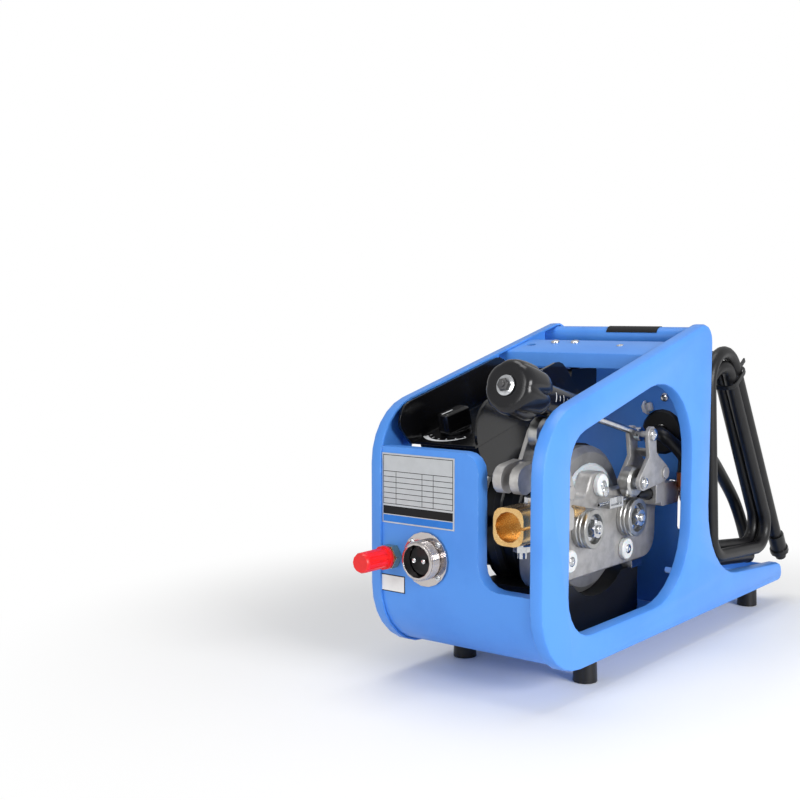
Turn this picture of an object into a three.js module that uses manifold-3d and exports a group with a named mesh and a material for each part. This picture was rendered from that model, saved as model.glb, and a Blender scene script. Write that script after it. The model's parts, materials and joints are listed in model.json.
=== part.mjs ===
// Wire feeder for MIG welding: an open sheet-metal carrying frame with a four-roller wire drive, a
// pancake motor, a torch block, gas and control sockets, a control hood and the coiled supply cable.
// Millimetres. X runs from the torch end (minus) to the tail (plus), Y across, Z up; the wire drive
// faces minus Y.
import * as THREE from 'three';
import { mergeVertices } from 'three/addons/utils/BufferGeometryUtils.js';
import Module from 'manifold-3d';

const wasm = await Module();
wasm.setup();

// Fits shared by every piece
const gap = 0.3;
const overrun = 3;
const weldShare = 1e-6;
// Round stretches are cut into flats that stay this close to the true curve
const flatness = 0.4;
const fewestFlats = 10;

// Carrying frame, the driving sizes
const frameLength = 505;
const frameWidth = 180;
const sheet = 2;
const flange = 12;
const crease = 4;
const footHeight = 26.3;
const plateLift = 24.3;
const slope = THREE.MathUtils.degToRad(15);

// Side plates
const frontEdgeTop = 237;
const columnRearX = 54;
const tailTopAtColumn = 60.5;
const tailTopAtEnd = 44.6;
const noseRadius = 62;
const browRadius = 58;
const shoulderRadius = 18;
const tailSweepRadius = 80;
const tailTopRadius = 12;
const tailFootRadius = 8;
const openingFrontMargin = 42.3;
const openingRearMargin = 41.4;
const openingBottomMargin = 27.9;
const openingTopMargin = 28.7;
const openingRadii = { frontLow: 38, frontHigh: 30, rearHigh: 69, rearLow: 71 };

// Feet
const footFrontX = -144.2;
const footRearX = 210.3;
const footY = 66;
const footRadius = 11;
const footTopRadius = 10;
const footScrewRadius = 3;
const footScrewReach = 14;

// Front panel and floor, one folded sheet
const panelTop = 208;
const panelFreeY = -25;
const panelCornerRadius = 17;
const panelNotchZ = 95;
const panelNotchRadius = 20;
const panelFlange = 13;
const tailLip = 14;
const floorHoleRadius = 4;
// Holes of the floor, from its middle, in shares of half the frame's length and width
const floorHoleShares = [[0.111, 0.144], [0.194, 0.011]];

// Rear bulkhead
const bulkheadTop = 286;
const grommetHoleRadius = 20;
const cableY = -38;
const cableZ = 205;
const window = { y0: -68, y1: -56, z0: 107, z1: 142, radius: 3 };
const drain = { y0: -63, y1: -43, z0: 61, z1: 67, radius: 2 };

// Handle tube and cross rail
const tubeRadius = 9.8;
const tubeWall = 2;
const tubeX = 34;
const railFrontX = -60;
const railWidth = 46;
const railLip = 14;
const railCrease = 3;
// Along the rail's width and across from the middle, in shares of its width and half its length
const railScrewShares = [[0.72, 0.479], [0.743, 0.228]];
const railFlushShares = [0.586, -0.388];
const railOvalShares = [0.518, 0.753];
const railOval = { radius: 3.4, half: 3 };
const panScrewShank = 2;
const panScrewReach = 2.4;

// Wire drive
const wireY = -50;
const rollerZ = 130;
const rollerRadius = 18.5;
const rollerWidth = 13.5;
const rollerFrontY = -56;
const rollerRearX = -32;
const rollerFrontX = -113;
const rollerRecess = { radius: 13, depth: 5, web: 2.5 };
const rollerGroove = { width: 2, depth: 1, spacing: 4 };
const wireRadius = 0.6;
const shaftRadius = 6;
const studRadius = 4;
const studTipY = -60.5;
const nutFlats = 15;
const nutHeight = 6;
const washerRadius = 10;
const washerHeight = 1.5;
const wireZ = rollerZ + rollerRadius + wireRadius;
const pinionX = (rollerRearX + rollerFrontX) / 2;

// Gears between the casting and its back cover
const toothModule = 1.5;
const pinionTeeth = 24;
const rollerTeeth = 30;
const gearY0 = -37.2;
const gearY1 = -29.4;
// Tooth heights in shares of the module, and half widths in shares of a tooth's pitch
const tipShare = 0.9;
const rootShare = 1.15;
const tipHalfShare = 0.1;
const rootHalfShare = 0.297;

// Casting
const casting = { front: -42, wall: 4, back: -27.3, rim: 3, low: 84, high: 157.5 };
const castingX0 = -192;
const castingX1 = 30;
const castingBossRadius = 12;
const castingCornerRadius = 22;
const castingEdge = 1.2;
const bearingRadius = 10;
const bracketRear = { x0: 7, x1: 45, top: 158, low: 136, front: -59.9 };
const bracketFront = { x0: -190, x1: -156, top: 158, low: 136, front: -59.9 };
const bracketShoulder = 20;
const lugRadius = 9;
const lugFrontY = -59.9;
const lugBackY = -44.2;
const pivotPinRadius = 3;
const nylonRadius = 10.5;
const nylonHeight = 5;
const nylonScrewRadius = 4.2;
// Out and up from the pinion, in shares of the rollers' pitch
const nylonPlaceShares = [[-0.142, 0.444], [0.469, -0.383], [-0.809, -0.333]];

// Pressure arms
const rearPivot = [5.7, 169.8];
const rearRoller = [-38.1, 164.7];
const rearTop = [-21.8, 208.9];
const frontPivot = [-170, 170];
const frontRollerShut = [-113, 165.2];
const forkShut = [-121, 218];
const frontArmOpen = THREE.MathUtils.degToRad(-120.7);
const cheekFront = { y0: -64, y1: -60.2 };
const cheekRear = { y0: -43.6, y1: -39.6 };
const armBoss = 8;
const armWaist = 5.5;
const rollerBossRear = 6.4;
const idleRadius = 15;
const idleY0 = -57;
const idleY1 = -45.5;
const idleBore = 5.2;
const idlePin = 5;
const pinHead = { radius: 6, height: 1.6 };
const fingerRadius = 12;
const fingerFront = { y0: -62.5, y1: -54 };
const fingerRear = { y0: -46, y1: -37.5 };
const handleY = -50;

// Pressure handle, measured outward from its pin on the rear arm
const handleLift = THREE.MathUtils.degToRad(13.9);
const eyeRadius = 7;
const eyeWidth = 6;
const rodRadius = 3.5;
const rodEnd = 226;
const rodFlat = 12;
const sleeve = { start: 114, end: 205, radius: 13.5, bore: 10, wall: 2.5 };
const spring = { radius: 7.6, wire: 1.1, turns: 7, sides: 5, steps: 8 };
const knob = { start: 192, end: 232, radius: 24, waist: 19, lobes: 6, lobeShare: 0.1, recess: 16, nose: 14 };
const knobWasher = { radius: 8.5, height: 1.6 };
const knobNutFlats = 10;
const knobNutHeight = 4.5;

// Wire guides and torch block
const guideRadius = 6;
const guideTip = 1.8;
const guideBore = 1.1;
const inletX0 = -22;
const inletConeX = -4;
const inletX1 = 50;
const inletTipX = 66;
const inletTipRadius = 3.5;
const inletCollar = 7.5;
const middleGuide = { x0: -97, x1: -48, blockX0: -85, blockX1: -60, radius: 1.8, half: 4.5, front: -55 };
const torch = {
  x0: -243, neckX: -216, x1: -195, shankX: -148, width: 26, height: 32, bore: 12.4, depth: 20, slit: 2.4,
};
const torchRound = 9;
const outletX0 = torch.shankX + gap;
const outletX1 = -123;
const torchBolt = { x: -207, flats: 12, height: 6.5, washer: 8, thick: 1.5 };
const torchStud = { x: -222, flats: 13, height: 7, washer: 9.5, thick: 1.6, radius: 4 };

// Drive motor and its housing behind the casting
const motorRadius = 72;
const motorY0 = -11.7;
const motorY1 = 55;
const motorRib = { width: 7, depth: 2.5, count: 3 };
const gearCase = { radius: 70, y0: -24.3, y1: -12, step: 5, rim: 6 };
const gearCover = { radius: 54, y0: -27, y1: -24.6 };
const endCap = { radius: 58, y1: 64, hub: 16, ribs: 8, ribWidth: 3 };
const brushCap = { radius: 6, reach: 5, y: 46 };
const motorBore = 30;
const motorShaftRadius = 5;

// Base under the drive
const base = { x0: -150, x1: 6, y0: -36, y1: 48, top: 76, foot: 6, footReach: 18 };
const baseBoltRadius = 4;
const clip = { x0: -16, x1: 4, y0: -41.5, y1: -30 };

// Control hood, measured along the slope from the plates' brow and down from their top line
const hoodWall = 2.5;
const hoodY0 = 7;
const hoodY1 = 77;
const hoodDrop = 38;
const hoodFloorStart = 33;
const hoodEnd = 206;
const hoodCrestEnd = 185;
const hoodTailRadius = 20;
const hoodNearWall = { toe: 37, toeRadius: 4, brow: 38, browRadius: 30, crest: 5 };
const hoodFarWall = { toe: 31, toeRadius: 4, nose: 17, noseRadius: 11, brow: 29, browRadius: 16, crest: 2 };
const skirt = { start: 40, lowStart: 47, end: 200, low: 74, radius: 3, lowRadius: 10, endRadius: 6 };
const skirtY0 = 10;
const skirtY1 = 74;
const hoodBox = { x0: -46, x1: 2, y0: 12, y1: 68, z0: 240, z1: 270 };
const hoodPostRadius = 5;
const knobSpot = { x: -179, y: 51 };
const knobSkirt = { radius: 14, height: 3 };
const knobTurn = THREE.MathUtils.degToRad(-9);
const knobBar = { length: 31, width: 15, height: 20, taper: 1.5, corner: 3 };
const potShaft = 3;
const potBody = { radius: 8, height: 9 };

// Front panel fittings
const gasY = 66;
const gasZ = 113;
const gas = { thread: 6.5, flats: 19, hexX: 8, collar: 11, nipple: 5, nippleX: 26, tail: 14, barb: 4.2 };
const gasCapShape = {
  radius: 9, flange: 10.5, flangeLength: 3, length: 32, bore: 5.4, ribs: 12, ribDepth: 0.8,
};
const socketY = 28.4;
const socketZ = 114.5;
const socket = {
  flange: 23.5, thick: 2.5, shell: 16.5, mouth: 13.8, reach: 14, floor: 5, body: 15, depth: 20,
};
const socketPin = { radius: 2, reach: 8, offset: 5 };
const socketKey = { width: 3, depth: 2 };
const socketScrew = { circle: 19.8, count: 4, shank: 1.4 };

// Cables
const cableRadius = 6.8;
const cableSides = 10;
const innerSteps = 15;
const leadSteps = 24;
const tailSteps = 5;
const grommet = { flange: 23, lip: 2.5, bore: 7.6 };
const lug = { y: -68, z: 160, barrel: 7.6, length: 14, palm: 18, width: 16, thick: 3.2, bolt: 3.6 };
const valve = {
  x0: 6, x1: 40, y0: 52, y1: 74, z0: 58, z1: 80, corner: 3, coil: 10, coilHeight: 24, barb: 3.4, reach: 10,
};
const hoseRadius = 4.5;
const hoseSides = 8;
const hoseSteps = 16;
const hoseLead = 20;

// Supply cable: a free lead, a hank on the tail, and a free end with its plug
const hankCentres = { top: [96, 252], tail: [197, 93], foot: [108, 101] };
const hankRadius = 36;
const hankTurns = 2.79;
const hankStart = 0.75;
const hankFarY = -66.4;
const hankPitch = 14.4;
const climbTurns = 0.25;
const hankSides = 6;
const hankStepsPerTurn = 24;
const tieBand = { wall: 1.6, width: 4.5, tail: 16 };
const plug = { radius: 9, length: 26, ring: 10.5, ringLength: 6, tip: 6, tipLength: 8 };

const material = (colour, roughness, metalness) =>
  new THREE.MeshStandardMaterial({ color: colour, roughness, metalness });
const powderBlue = () => material(0x4f94e4, 0.42, 0.1);
const blackPlastic = () => material(0x17181b, 0.32, 0.0);
const blackRubber = () => material(0x1b1b1d, 0.75, 0.0);
const castAluminium = () => material(0xb4b2ae, 0.46, 0.85);
const zincSteel = () => material(0xc2c6cb, 0.3, 0.95);
const turnedSteel = () => material(0xa9abad, 0.28, 0.95);
const brass = () => material(0xd0a455, 0.34, 0.95);
const copper = () => material(0xb5673c, 0.4, 0.95);
const whiteNylon = () => material(0xe6e7e6, 0.5, 0.0);
const redPlastic = () => material(0xd22a26, 0.4, 0.0);

// A closed solid from any closed geometry: shared corners joined, slivers dropped, faces outward
function solid(geometry) {
  geometry.deleteAttribute('normal');
  geometry.deleteAttribute('uv');
  geometry.computeBoundingSphere();
  const joined = mergeVertices(geometry, geometry.boundingSphere.radius * weldShare);
  const points = joined.attributes.position.array;
  const corners = joined.index.array;
  const at = (i) => new THREE.Vector3(points[3 * i], points[3 * i + 1], points[3 * i + 2]);
  const faces = [];
  let volume = 0;
  for (let i = 0; i < corners.length; i += 3) {
    const [a, b, c] = [corners[i], corners[i + 1], corners[i + 2]];
    if (a === b || b === c || a === c) continue;
    faces.push([a, b, c]);
    volume += at(a).dot(at(b).cross(at(c)));
  }
  const order = volume < 0 ? (face) => [face[0], face[2], face[1]] : (face) => face;
  const triVerts = new Uint32Array(faces.flatMap(order));
  return new wasm.Manifold(new wasm.Mesh({ numProp: 3, vertProperties: new Float32Array(points), triVerts }));
}

const indexed = (positions, index) => {
  const geometry = new THREE.BufferGeometry();
  geometry.setAttribute('position', new THREE.BufferAttribute(new Float32Array(positions), 3));
  geometry.setIndex(Array.from(index));
  return geometry;
};

const geometryOf = (body) => {
  const { vertProperties, triVerts } = body.getMesh();
  return indexed(vertProperties, triVerts);
};

const placed = (body, matrix) => solid(geometryOf(body).applyMatrix4(matrix));

function mesh(name, body, finish) {
  const geometry = geometryOf(body);
  geometry.computeVertexNormals();
  const piece = new THREE.Mesh(geometry, finish);
  piece.name = name;
  return piece;
}

// A skin over rings of equally many points, closed by flat ends; the cap lists one end's triangles
function skinned(rings, cap = null) {
  const count = rings[0].length;
  const index = [];
  for (let r = 0; r + 1 < rings.length; r++) {
    for (let k = 0; k < count; k++) {
      const a = r * count + k;
      const b = r * count + ((k + 1) % count);
      index.push(a, b, a + count, b, b + count, a + count);
    }
  }
  const fan = Array.from({ length: count - 2 }, (_, k) => [0, k + 1, k + 2]);
  const last = (rings.length - 1) * count;
  (cap ?? fan).forEach(([a, b, c]) => index.push(a, c, b, last + a, last + b, last + c));
  return solid(indexed(rings.flat(2), index));
}

const join = (bodies) => bodies.reduce((whole, body) => whole.add(body));
const X = new THREE.Vector3(1, 0, 0);
const Y = new THREE.Vector3(0, 1, 0);
const Z = new THREE.Vector3(0, 0, 1);
// Outlines are drawn in (y, z), (x, z) or (x, y) and run along the axis that names them
const planes = {
  x: new THREE.Matrix4().makeBasis(Y, Z, X),
  y: new THREE.Matrix4().makeBasis(X, Z, Y),
  z: new THREE.Matrix4().makeBasis(X, Y, Z),
};

function prism(axis, outline, from, to, holes = []) {
  const shape = new THREE.Shape(outline);
  shape.holes = holes.map((hole) => new THREE.Path(hole));
  const geometry = new THREE.ExtrudeGeometry(shape, { depth: to - from, bevelEnabled: false, steps: 1 });
  geometry.translate(0, 0, from);
  geometry.applyMatrix4(planes[axis]);
  return solid(geometry);
}

const point = (a, b) => new THREE.Vector2(a, b);
const flatsFor = (radius, turn) =>
  Math.max(2, Math.ceil(Math.abs(turn) / (2 * Math.acos(1 - Math.min(flatness / radius, 0.3)))));

// An outline with rounded corners, each [a, b, radius], with a count of flats where rings must match
function rounded(corners) {
  const outline = [];
  corners.forEach(([a, b, radius = 0, flats = 0], i) => {
    const here = point(a, b);
    const last = point(...corners[(i + corners.length - 1) % corners.length]);
    const next = point(...corners[(i + 1) % corners.length]);
    if (radius <= 0) {
      outline.push(here);
      return;
    }
    const back = last.sub(here).normalize();
    const ahead = next.sub(here).normalize();
    const half = Math.acos(THREE.MathUtils.clamp(back.dot(ahead), -1, 1)) / 2;
    const centre = here.clone().addScaledVector(back.clone().add(ahead).normalize(), radius / Math.sin(half));
    const start = here.clone().addScaledVector(back, radius / Math.tan(half)).sub(centre);
    const turn = Math.sign(back.cross(ahead)) * -(Math.PI - 2 * half);
    const steps = flats || flatsFor(radius, turn);
    for (let k = 0; k <= steps; k++) {
      outline.push(start.clone().rotateAround(point(0, 0), (turn * k) / steps).add(centre));
    }
  });
  return outline;
}

// The same corners moved inward by a distance: outer bends tighten and inner bends open
function inset(corners, distance) {
  const area = corners.reduce((sum, [a, b], i) => {
    const [c, d] = corners[(i + 1) % corners.length];
    return sum + a * d - b * c;
  }, 0);
  const side = Math.sign(area) * distance;
  return corners.map(([a, b, radius = 0], i) => {
    const here = point(a, b);
    const back = here.clone().sub(point(...corners[(i + corners.length - 1) % corners.length])).normalize();
    const ahead = point(...corners[(i + 1) % corners.length]).sub(here).normalize();
    const bend = back.cross(ahead);
    const shift = ahead.clone().sub(back).multiplyScalar(side / bend);
    const moved = here.add(shift);
    const grown = radius > 0 ? radius - Math.sign(bend) * side : 0;
    const flats = radius > 0 ? flatsFor(radius, Math.acos(back.dot(ahead))) : 0;
    return [moved.x, moved.y, Math.max(grown, 0), flats];
  });
}

const roundFlats = (radius) => Math.max(fewestFlats, flatsFor(radius, 2 * Math.PI));
const circle = (a, b, radius, steps = roundFlats(radius)) =>
  Array.from({ length: steps }, (_, k) => {
    const angle = (2 * Math.PI * k) / steps;
    return point(a + radius * Math.cos(angle), b + radius * Math.sin(angle));
  });

const hexagon = (a, b, flats) => circle(a, b, flats / Math.sqrt(3), 6);

const block = (x0, x1, y0, y1, z0, z1) => {
  const geometry = new THREE.BoxGeometry(x1 - x0, y1 - y0, z1 - z0);
  return solid(geometry.translate((x0 + x1) / 2, (y0 + y1) / 2, (z0 + z1) / 2));
};

const disc = (axis, a, b, radius, from, to) => prism(axis, circle(a, b, radius), from, to);
// A drilled hole keeps its full radius at the middle of each flat
function drilled(axis, a, b, radius, from, to) {
  const flats = roundFlats(radius);
  return prism(axis, circle(a, b, radius / Math.cos(Math.PI / flats), flats), from, to);
}

// A turned piece: profile points are [radius, place along the axis]
function turned(profile, origin, axis, steps = roundFlats(Math.max(...profile.map(([r]) => r)))) {
  const geometry = new THREE.LatheGeometry(profile.map(([r, h]) => point(r, h)), steps);
  geometry.applyQuaternion(new THREE.Quaternion().setFromUnitVectors(Y, axis));
  return solid(geometry.translate(...origin));
}

// A straight round bar between two places
function bar(from, to, radius, endRadius = radius) {
  const a = new THREE.Vector3(...from);
  const b = new THREE.Vector3(...to);
  const length = a.distanceTo(b);
  const profile = [[0, 0], [radius, 0], [endRadius, length], [0, length]];
  return turned(profile, a.toArray(), b.sub(a).normalize());
}

// A round cord through chosen points
function cord(points, sides, steps, radius = cableRadius) {
  const curve = new THREE.CatmullRomCurve3(points.map((p) => new THREE.Vector3(...p)), false, 'centripetal');
  const section = new THREE.Shape(circle(0, 0, radius, sides));
  const geometry = new THREE.ExtrudeGeometry(section, { steps, extrudePath: curve, bevelEnabled: false });
  return solid(geometry);
}

// Carrying frame
const half = { length: frameLength / 2, width: frameWidth / 2 };
const inner = { y: half.width - sheet - gap };
const floorZ = plateLift + sheet + gap;
const floorTop = floorZ + sheet;
const slopeTop = (x) => frontEdgeTop + Math.tan(slope) * (x + half.length);
// A place measured along and across the sloping top line
const onSlope = (x, drop) => [x, slopeTop(x) - drop / Math.cos(slope)];

const plateCorners = [
  [-half.length, plateLift, noseRadius],
  [half.length, plateLift, tailFootRadius],
  [half.length, tailTopAtEnd, tailTopRadius],
  [columnRearX, tailTopAtColumn, tailSweepRadius],
  [columnRearX, slopeTop(columnRearX), shoulderRadius],
  [-half.length, frontEdgeTop, browRadius],
];
const openingX0 = -half.length + openingFrontMargin;
const openingX1 = columnRearX - openingRearMargin;
const openingZ0 = plateLift + openingBottomMargin;
const openingCorners = [
  [openingX0, openingZ0, openingRadii.frontLow],
  [openingX1, openingZ0, openingRadii.rearLow],
  [openingX1, slopeTop(openingX1) - openingTopMargin, openingRadii.rearHigh],
  [openingX0, slopeTop(openingX0) - openingTopMargin, openingRadii.frontHigh],
];

// A stack of outlines at rising depths, closed by flat ends: it gives a sheet its rounded crease
function loft(levels) {
  const rings = levels.map(({ outline, depth }) => outline.map((p) => [p.x, depth, p.y]));
  return skinned(rings, THREE.ShapeUtils.triangulateShape(levels[0].outline, []));
}

// Both side plates share one pressing; side is -1 for the drive side and 1 for the far side
function sidePlate(side) {
  const depth = (d) => side * (half.width - d);
  const creaseSteps = [0, 1, 2];
  const creased = (corners, sign) => creaseSteps.map((k) => {
    const angle = (Math.PI / 2) * (k / (creaseSteps.length - 1));
    const outline = rounded(inset(corners, sign * crease * (1 - Math.sin(angle))));
    return { outline, depth: depth(crease * (1 - Math.cos(angle))) };
  });
  const level = (corners, distance, from, to) =>
    loft([from, to].map((d) => ({ outline: rounded(inset(corners, distance)), depth: depth(d) })));
  const skin = loft([
    ...creased(plateCorners, 1),
    { outline: rounded(plateCorners), depth: depth(flange) },
  ]);
  const hole = loft([
    { outline: rounded(inset(openingCorners, -crease)), depth: depth(-overrun) },
    ...creased(openingCorners, -1),
    { outline: rounded(openingCorners), depth: depth(flange + overrun) },
  ]);
  const pocket = level(plateCorners, sheet, sheet, flange + overrun);
  const collar = level(openingCorners, -sheet, 0, flange + overrun * 2);
  return skin.subtract(pocket.subtract(collar)).subtract(hole);
}

// Front panel and floor: folded up at the nose, with a rolled edge round the panel and its notch
const panelX = -half.length + sheet + gap;
const trayEndX = half.length - sheet - gap;
const noseFlats = flatsFor(noseRadius, Math.PI / 2);
// Past these heights the plates' flanges curve inward, and the sheet's edges step clear of them
const flangeClear = half.width - flange - gap;
const browStart = frontEdgeTop - browRadius / Math.tan((Math.PI / 2 + slope) / 2) - gap;
const tailStart = tailTopAtEnd - tailTopRadius - gap;
function frontFloorSheet() {
  const outer = [
    [panelX, floorZ, noseRadius - sheet - gap, noseFlats],
    [trayEndX, floorZ, tailFootRadius - sheet - gap],
    [trayEndX, floorZ + tailLip, 0],
    [trayEndX - sheet, floorZ + tailLip, 0],
    [trayEndX - sheet, floorTop, tailFootRadius - 2 * sheet - gap],
    [panelX + sheet, floorTop, noseRadius - 2 * sheet - gap, noseFlats],
    [panelX + sheet, panelTop, 0],
    [panelX, panelTop, 0],
  ];
  const strip = prism('y', rounded(outer), -inner.y, inner.y);
  const notch = [
    [-inner.y - overrun, panelNotchZ, 0],
    [panelFreeY, panelNotchZ, panelNotchRadius],
    [panelFreeY, panelTop, panelCornerRadius],
    [flangeClear, panelTop, 0],
    [flangeClear, browStart, 0],
    [inner.y + overrun, browStart, 0],
    [inner.y + overrun, panelTop + overrun * 4, 0],
    [-inner.y - overrun, panelTop + overrun * 4, 0],
  ];
  const cut = prism('x', rounded(notch), panelX - overrun, panelX + panelFlange + overrun);
  const band = prism('x', rounded(inset(notch, -sheet)), panelX + sheet / 2, panelX + panelFlange);
  const within = block(panelX, panelX + panelFlange, -inner.y, inner.y, panelNotchZ - sheet, panelTop);
  const through = (x, y, radius) => drilled('z', x, y, radius, floorZ - overrun, floorTop + overrun);
  const holes = floorHoleShares.map(([x, y]) => through(x * half.length, y * half.width, floorHoleRadius));
  const mounts = footPlaces().map(([x, y]) => through(x, y, footScrewRadius + gap));
  const sockets = panelHoles();
  const tailCorners = [-1, 1].map((side) => {
    const y0 = side * flangeClear;
    const y1 = side * (inner.y + overrun);
    return block(trayEndX - sheet - overrun, trayEndX + overrun, Math.min(y0, y1), Math.max(y0, y1),
      tailStart, floorZ + tailLip + overrun);
  });
  return strip.add(band.intersect(within)).subtract(cut)
    .subtract(join([...holes, ...mounts, ...sockets, ...tailCorners]));
}

function footPlaces() {
  return [footFrontX, footRearX].flatMap((x) => [-footY, footY].map((y) => [x, y]));
}

function foot([x, y]) {
  const pad = bar([x, y, 0], [x, y, footHeight], footRadius, footTopRadius);
  const bore = bar([x, y, footHeight - footScrewReach], [x, y, footHeight + overrun], footScrewRadius + gap);
  return pad.subtract(bore);
}

// Rear bulkhead: an upright sheet between the plates, with flanges that meet their columns
const bulkheadX1 = columnRearX - sheet - gap;
const bulkheadX0 = bulkheadX1 - sheet;
function rearBulkhead() {
  const outline = [
    [-inner.y, floorTop + gap, 0],
    [inner.y, floorTop + gap, 0],
    [inner.y, bulkheadTop, shoulderRadius],
    [-inner.y, bulkheadTop, shoulderRadius],
  ];
  const wall = prism('x', rounded(outline), bulkheadX0, bulkheadX1);
  const lips = [-1, 1].map((side) => {
    const y0 = side * inner.y;
    const y1 = side * (inner.y - sheet);
    return block(bulkheadX0 - flange + sheet, bulkheadX1, Math.min(y0, y1), Math.max(y0, y1),
      floorTop + gap, bulkheadTop - shoulderRadius);
  });
  const slot = ({ y0, y1, z0, z1, radius }) => prism('x', rounded([
    [y0, z0, radius], [y1, z0, radius], [y1, z1, radius], [y0, z1, radius],
  ]), bulkheadX0 - overrun, bulkheadX1 + overrun);
  const eye = drilled('x', cableY, cableZ, grommetHoleRadius, bulkheadX0 - overrun, bulkheadX1 + overrun);
  const inlet = drilled('x', wireY, wireZ, inletCollar + gap, bulkheadX0 - overrun, bulkheadX1 + overrun);
  return join([wall, ...lips]).subtract(join([eye, inlet, slot(window), slot(drain)]));
}

// Handle tube, nested under the shoulder of both plates
const tubeZ = slopeTop(tubeX) - (sheet + 2 * gap + tubeRadius) / Math.cos(slope);
function handleTube() {
  const ring = circle(tubeX, tubeZ, tubeRadius);
  return prism('y', ring, -inner.y, inner.y, [circle(tubeX, tubeZ, tubeRadius - tubeWall)]);
}

// Cross rail: a shallow channel that lies along the slope, right under the plates' top flanges
const railDrop = sheet + gap;
const railEndX = railFrontX + railWidth * Math.cos(slope);
const onRail = ([along, across]) => [railFrontX + along * (railEndX - railFrontX), across * inner.y];
const railScrewPlaces = railScrewShares.map(onRail);
function crossRail() {
  const under = (x, drop) => onSlope(x, railDrop + drop);
  const [frontX, frontZ] = under(railFrontX, 0);
  const [endX, endZ] = under(railEndX, 0);
  const profile = [
    [frontX, frontZ - railLip, 0],
    [frontX, frontZ, railCrease],
    [endX, endZ, railCrease],
    [endX, endZ - railLip, 0],
    [endX - sheet, endZ - railLip, 0],
    [endX - sheet, under(endX - sheet, sheet)[1], railCrease - sheet],
    [frontX + sheet, under(frontX + sheet, sheet)[1], railCrease - sheet],
    [frontX + sheet, frontZ - railLip, 0],
  ];
  const channel = prism('y', rounded(profile), -inner.y, inner.y);
  const hole = (x, y, radius, half = 0) => {
    const oval = rounded([
      [x - radius, y - radius - half, radius * 0.99], [x + radius, y - radius - half, radius * 0.99],
      [x + radius, y + radius + half, radius * 0.99], [x - radius, y + radius + half, radius * 0.99],
    ]);
    return prism('z', oval, frontZ - railLip - overrun, endZ + overrun);
  };
  return channel.subtract(join([
    ...railScrewPlaces.map(([x, y]) => hole(x, y, panScrewShank + gap)),
    hole(...onRail(railFlushShares), panScrewShank + gap),
    hole(...onRail(railOvalShares), railOval.radius, railOval.half),
  ]));
}

const rollerPitch = rollerRearX - rollerFrontX;
const nylonPlaces = nylonPlaceShares.map(([out, up]) =>
  [pinionX + out * rollerPitch, rollerZ + up * rollerPitch]);

function wheelGear(teeth, x) {
  const pitch = (toothModule * teeth) / 2;
  const tip = pitch + toothModule * tipShare;
  const root = pitch - toothModule * rootShare;
  const step = (2 * Math.PI) / teeth;
  // The pinion turns half a tooth against its neighbours, so that teeth face spaces
  const phase = x === pinionX ? step / 2 : 0;
  const tooth = [[root, -rootHalfShare], [tip, -tipHalfShare], [tip, tipHalfShare], [root, rootHalfShare]];
  const outline = [];
  for (let k = 0; k < teeth; k++) {
    tooth.forEach(([radius, share]) => {
      const angle = phase + step * (k + share);
      outline.push(point(x + radius * Math.cos(angle), rollerZ + radius * Math.sin(angle)));
    });
  }
  return prism('y', outline, gearY0, gearY1);
}

const rollerGear = (x) => wheelGear(rollerTeeth, x)
  .add(disc('y', x, rollerZ, shaftRadius, rollerFrontY + rollerRecess.depth + rollerRecess.web + gap, gearY1))
  .add(disc('y', x, rollerZ, studRadius, studTipY, gearY1));

const pinion = () => wheelGear(pinionTeeth, pinionX)
  .add(disc('y', pinionX, rollerZ, motorShaftRadius, gearY0 - gap, motorY0 + motorBore - gap));

function driveRoller(x) {
  const y = (d) => rollerFrontY + d;
  const { width, depth, spacing } = rollerGroove;
  const middle = rollerWidth / 2;
  const groove = (centre) => [
    [rollerRadius, y(centre - width / 2)],
    [rollerRadius - depth, y(centre)],
    [rollerRadius, y(centre + width / 2)],
  ];
  const back = y(rollerWidth);
  const bore = shaftRadius + gap;
  const profile = [
    [studRadius + gap, y(rollerRecess.depth)], [rollerRecess.radius, y(rollerRecess.depth)],
    [rollerRecess.radius + crease / 4, y(0)], [rollerRadius - crease / 8, y(0)],
    [rollerRadius, y(crease / 8)],
    ...groove(middle - spacing / 2), ...groove(middle + spacing / 2),
    [rollerRadius, back], [bore, back], [bore, y(rollerRecess.depth + rollerRecess.web)],
    [studRadius + gap, y(rollerRecess.depth + rollerRecess.web)],
  ];
  return turned([...profile, profile[0]], [x, 0, rollerZ], Y);
}

function rollerNut(x) {
  const seat = rollerFrontY + rollerRecess.depth - gap;
  const washer = disc('y', x, rollerZ, washerRadius, seat - washerHeight, seat);
  const nutTop = seat - washerHeight - nutHeight;
  const hex = prism('y', hexagon(x, rollerZ, nutFlats), nutTop, seat - washerHeight / 2);
  const bore = drilled('y', x, rollerZ, studRadius + gap / 2, studTipY - overrun, seat + overrun);
  return washer.add(hex).subtract(bore);
}

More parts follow.
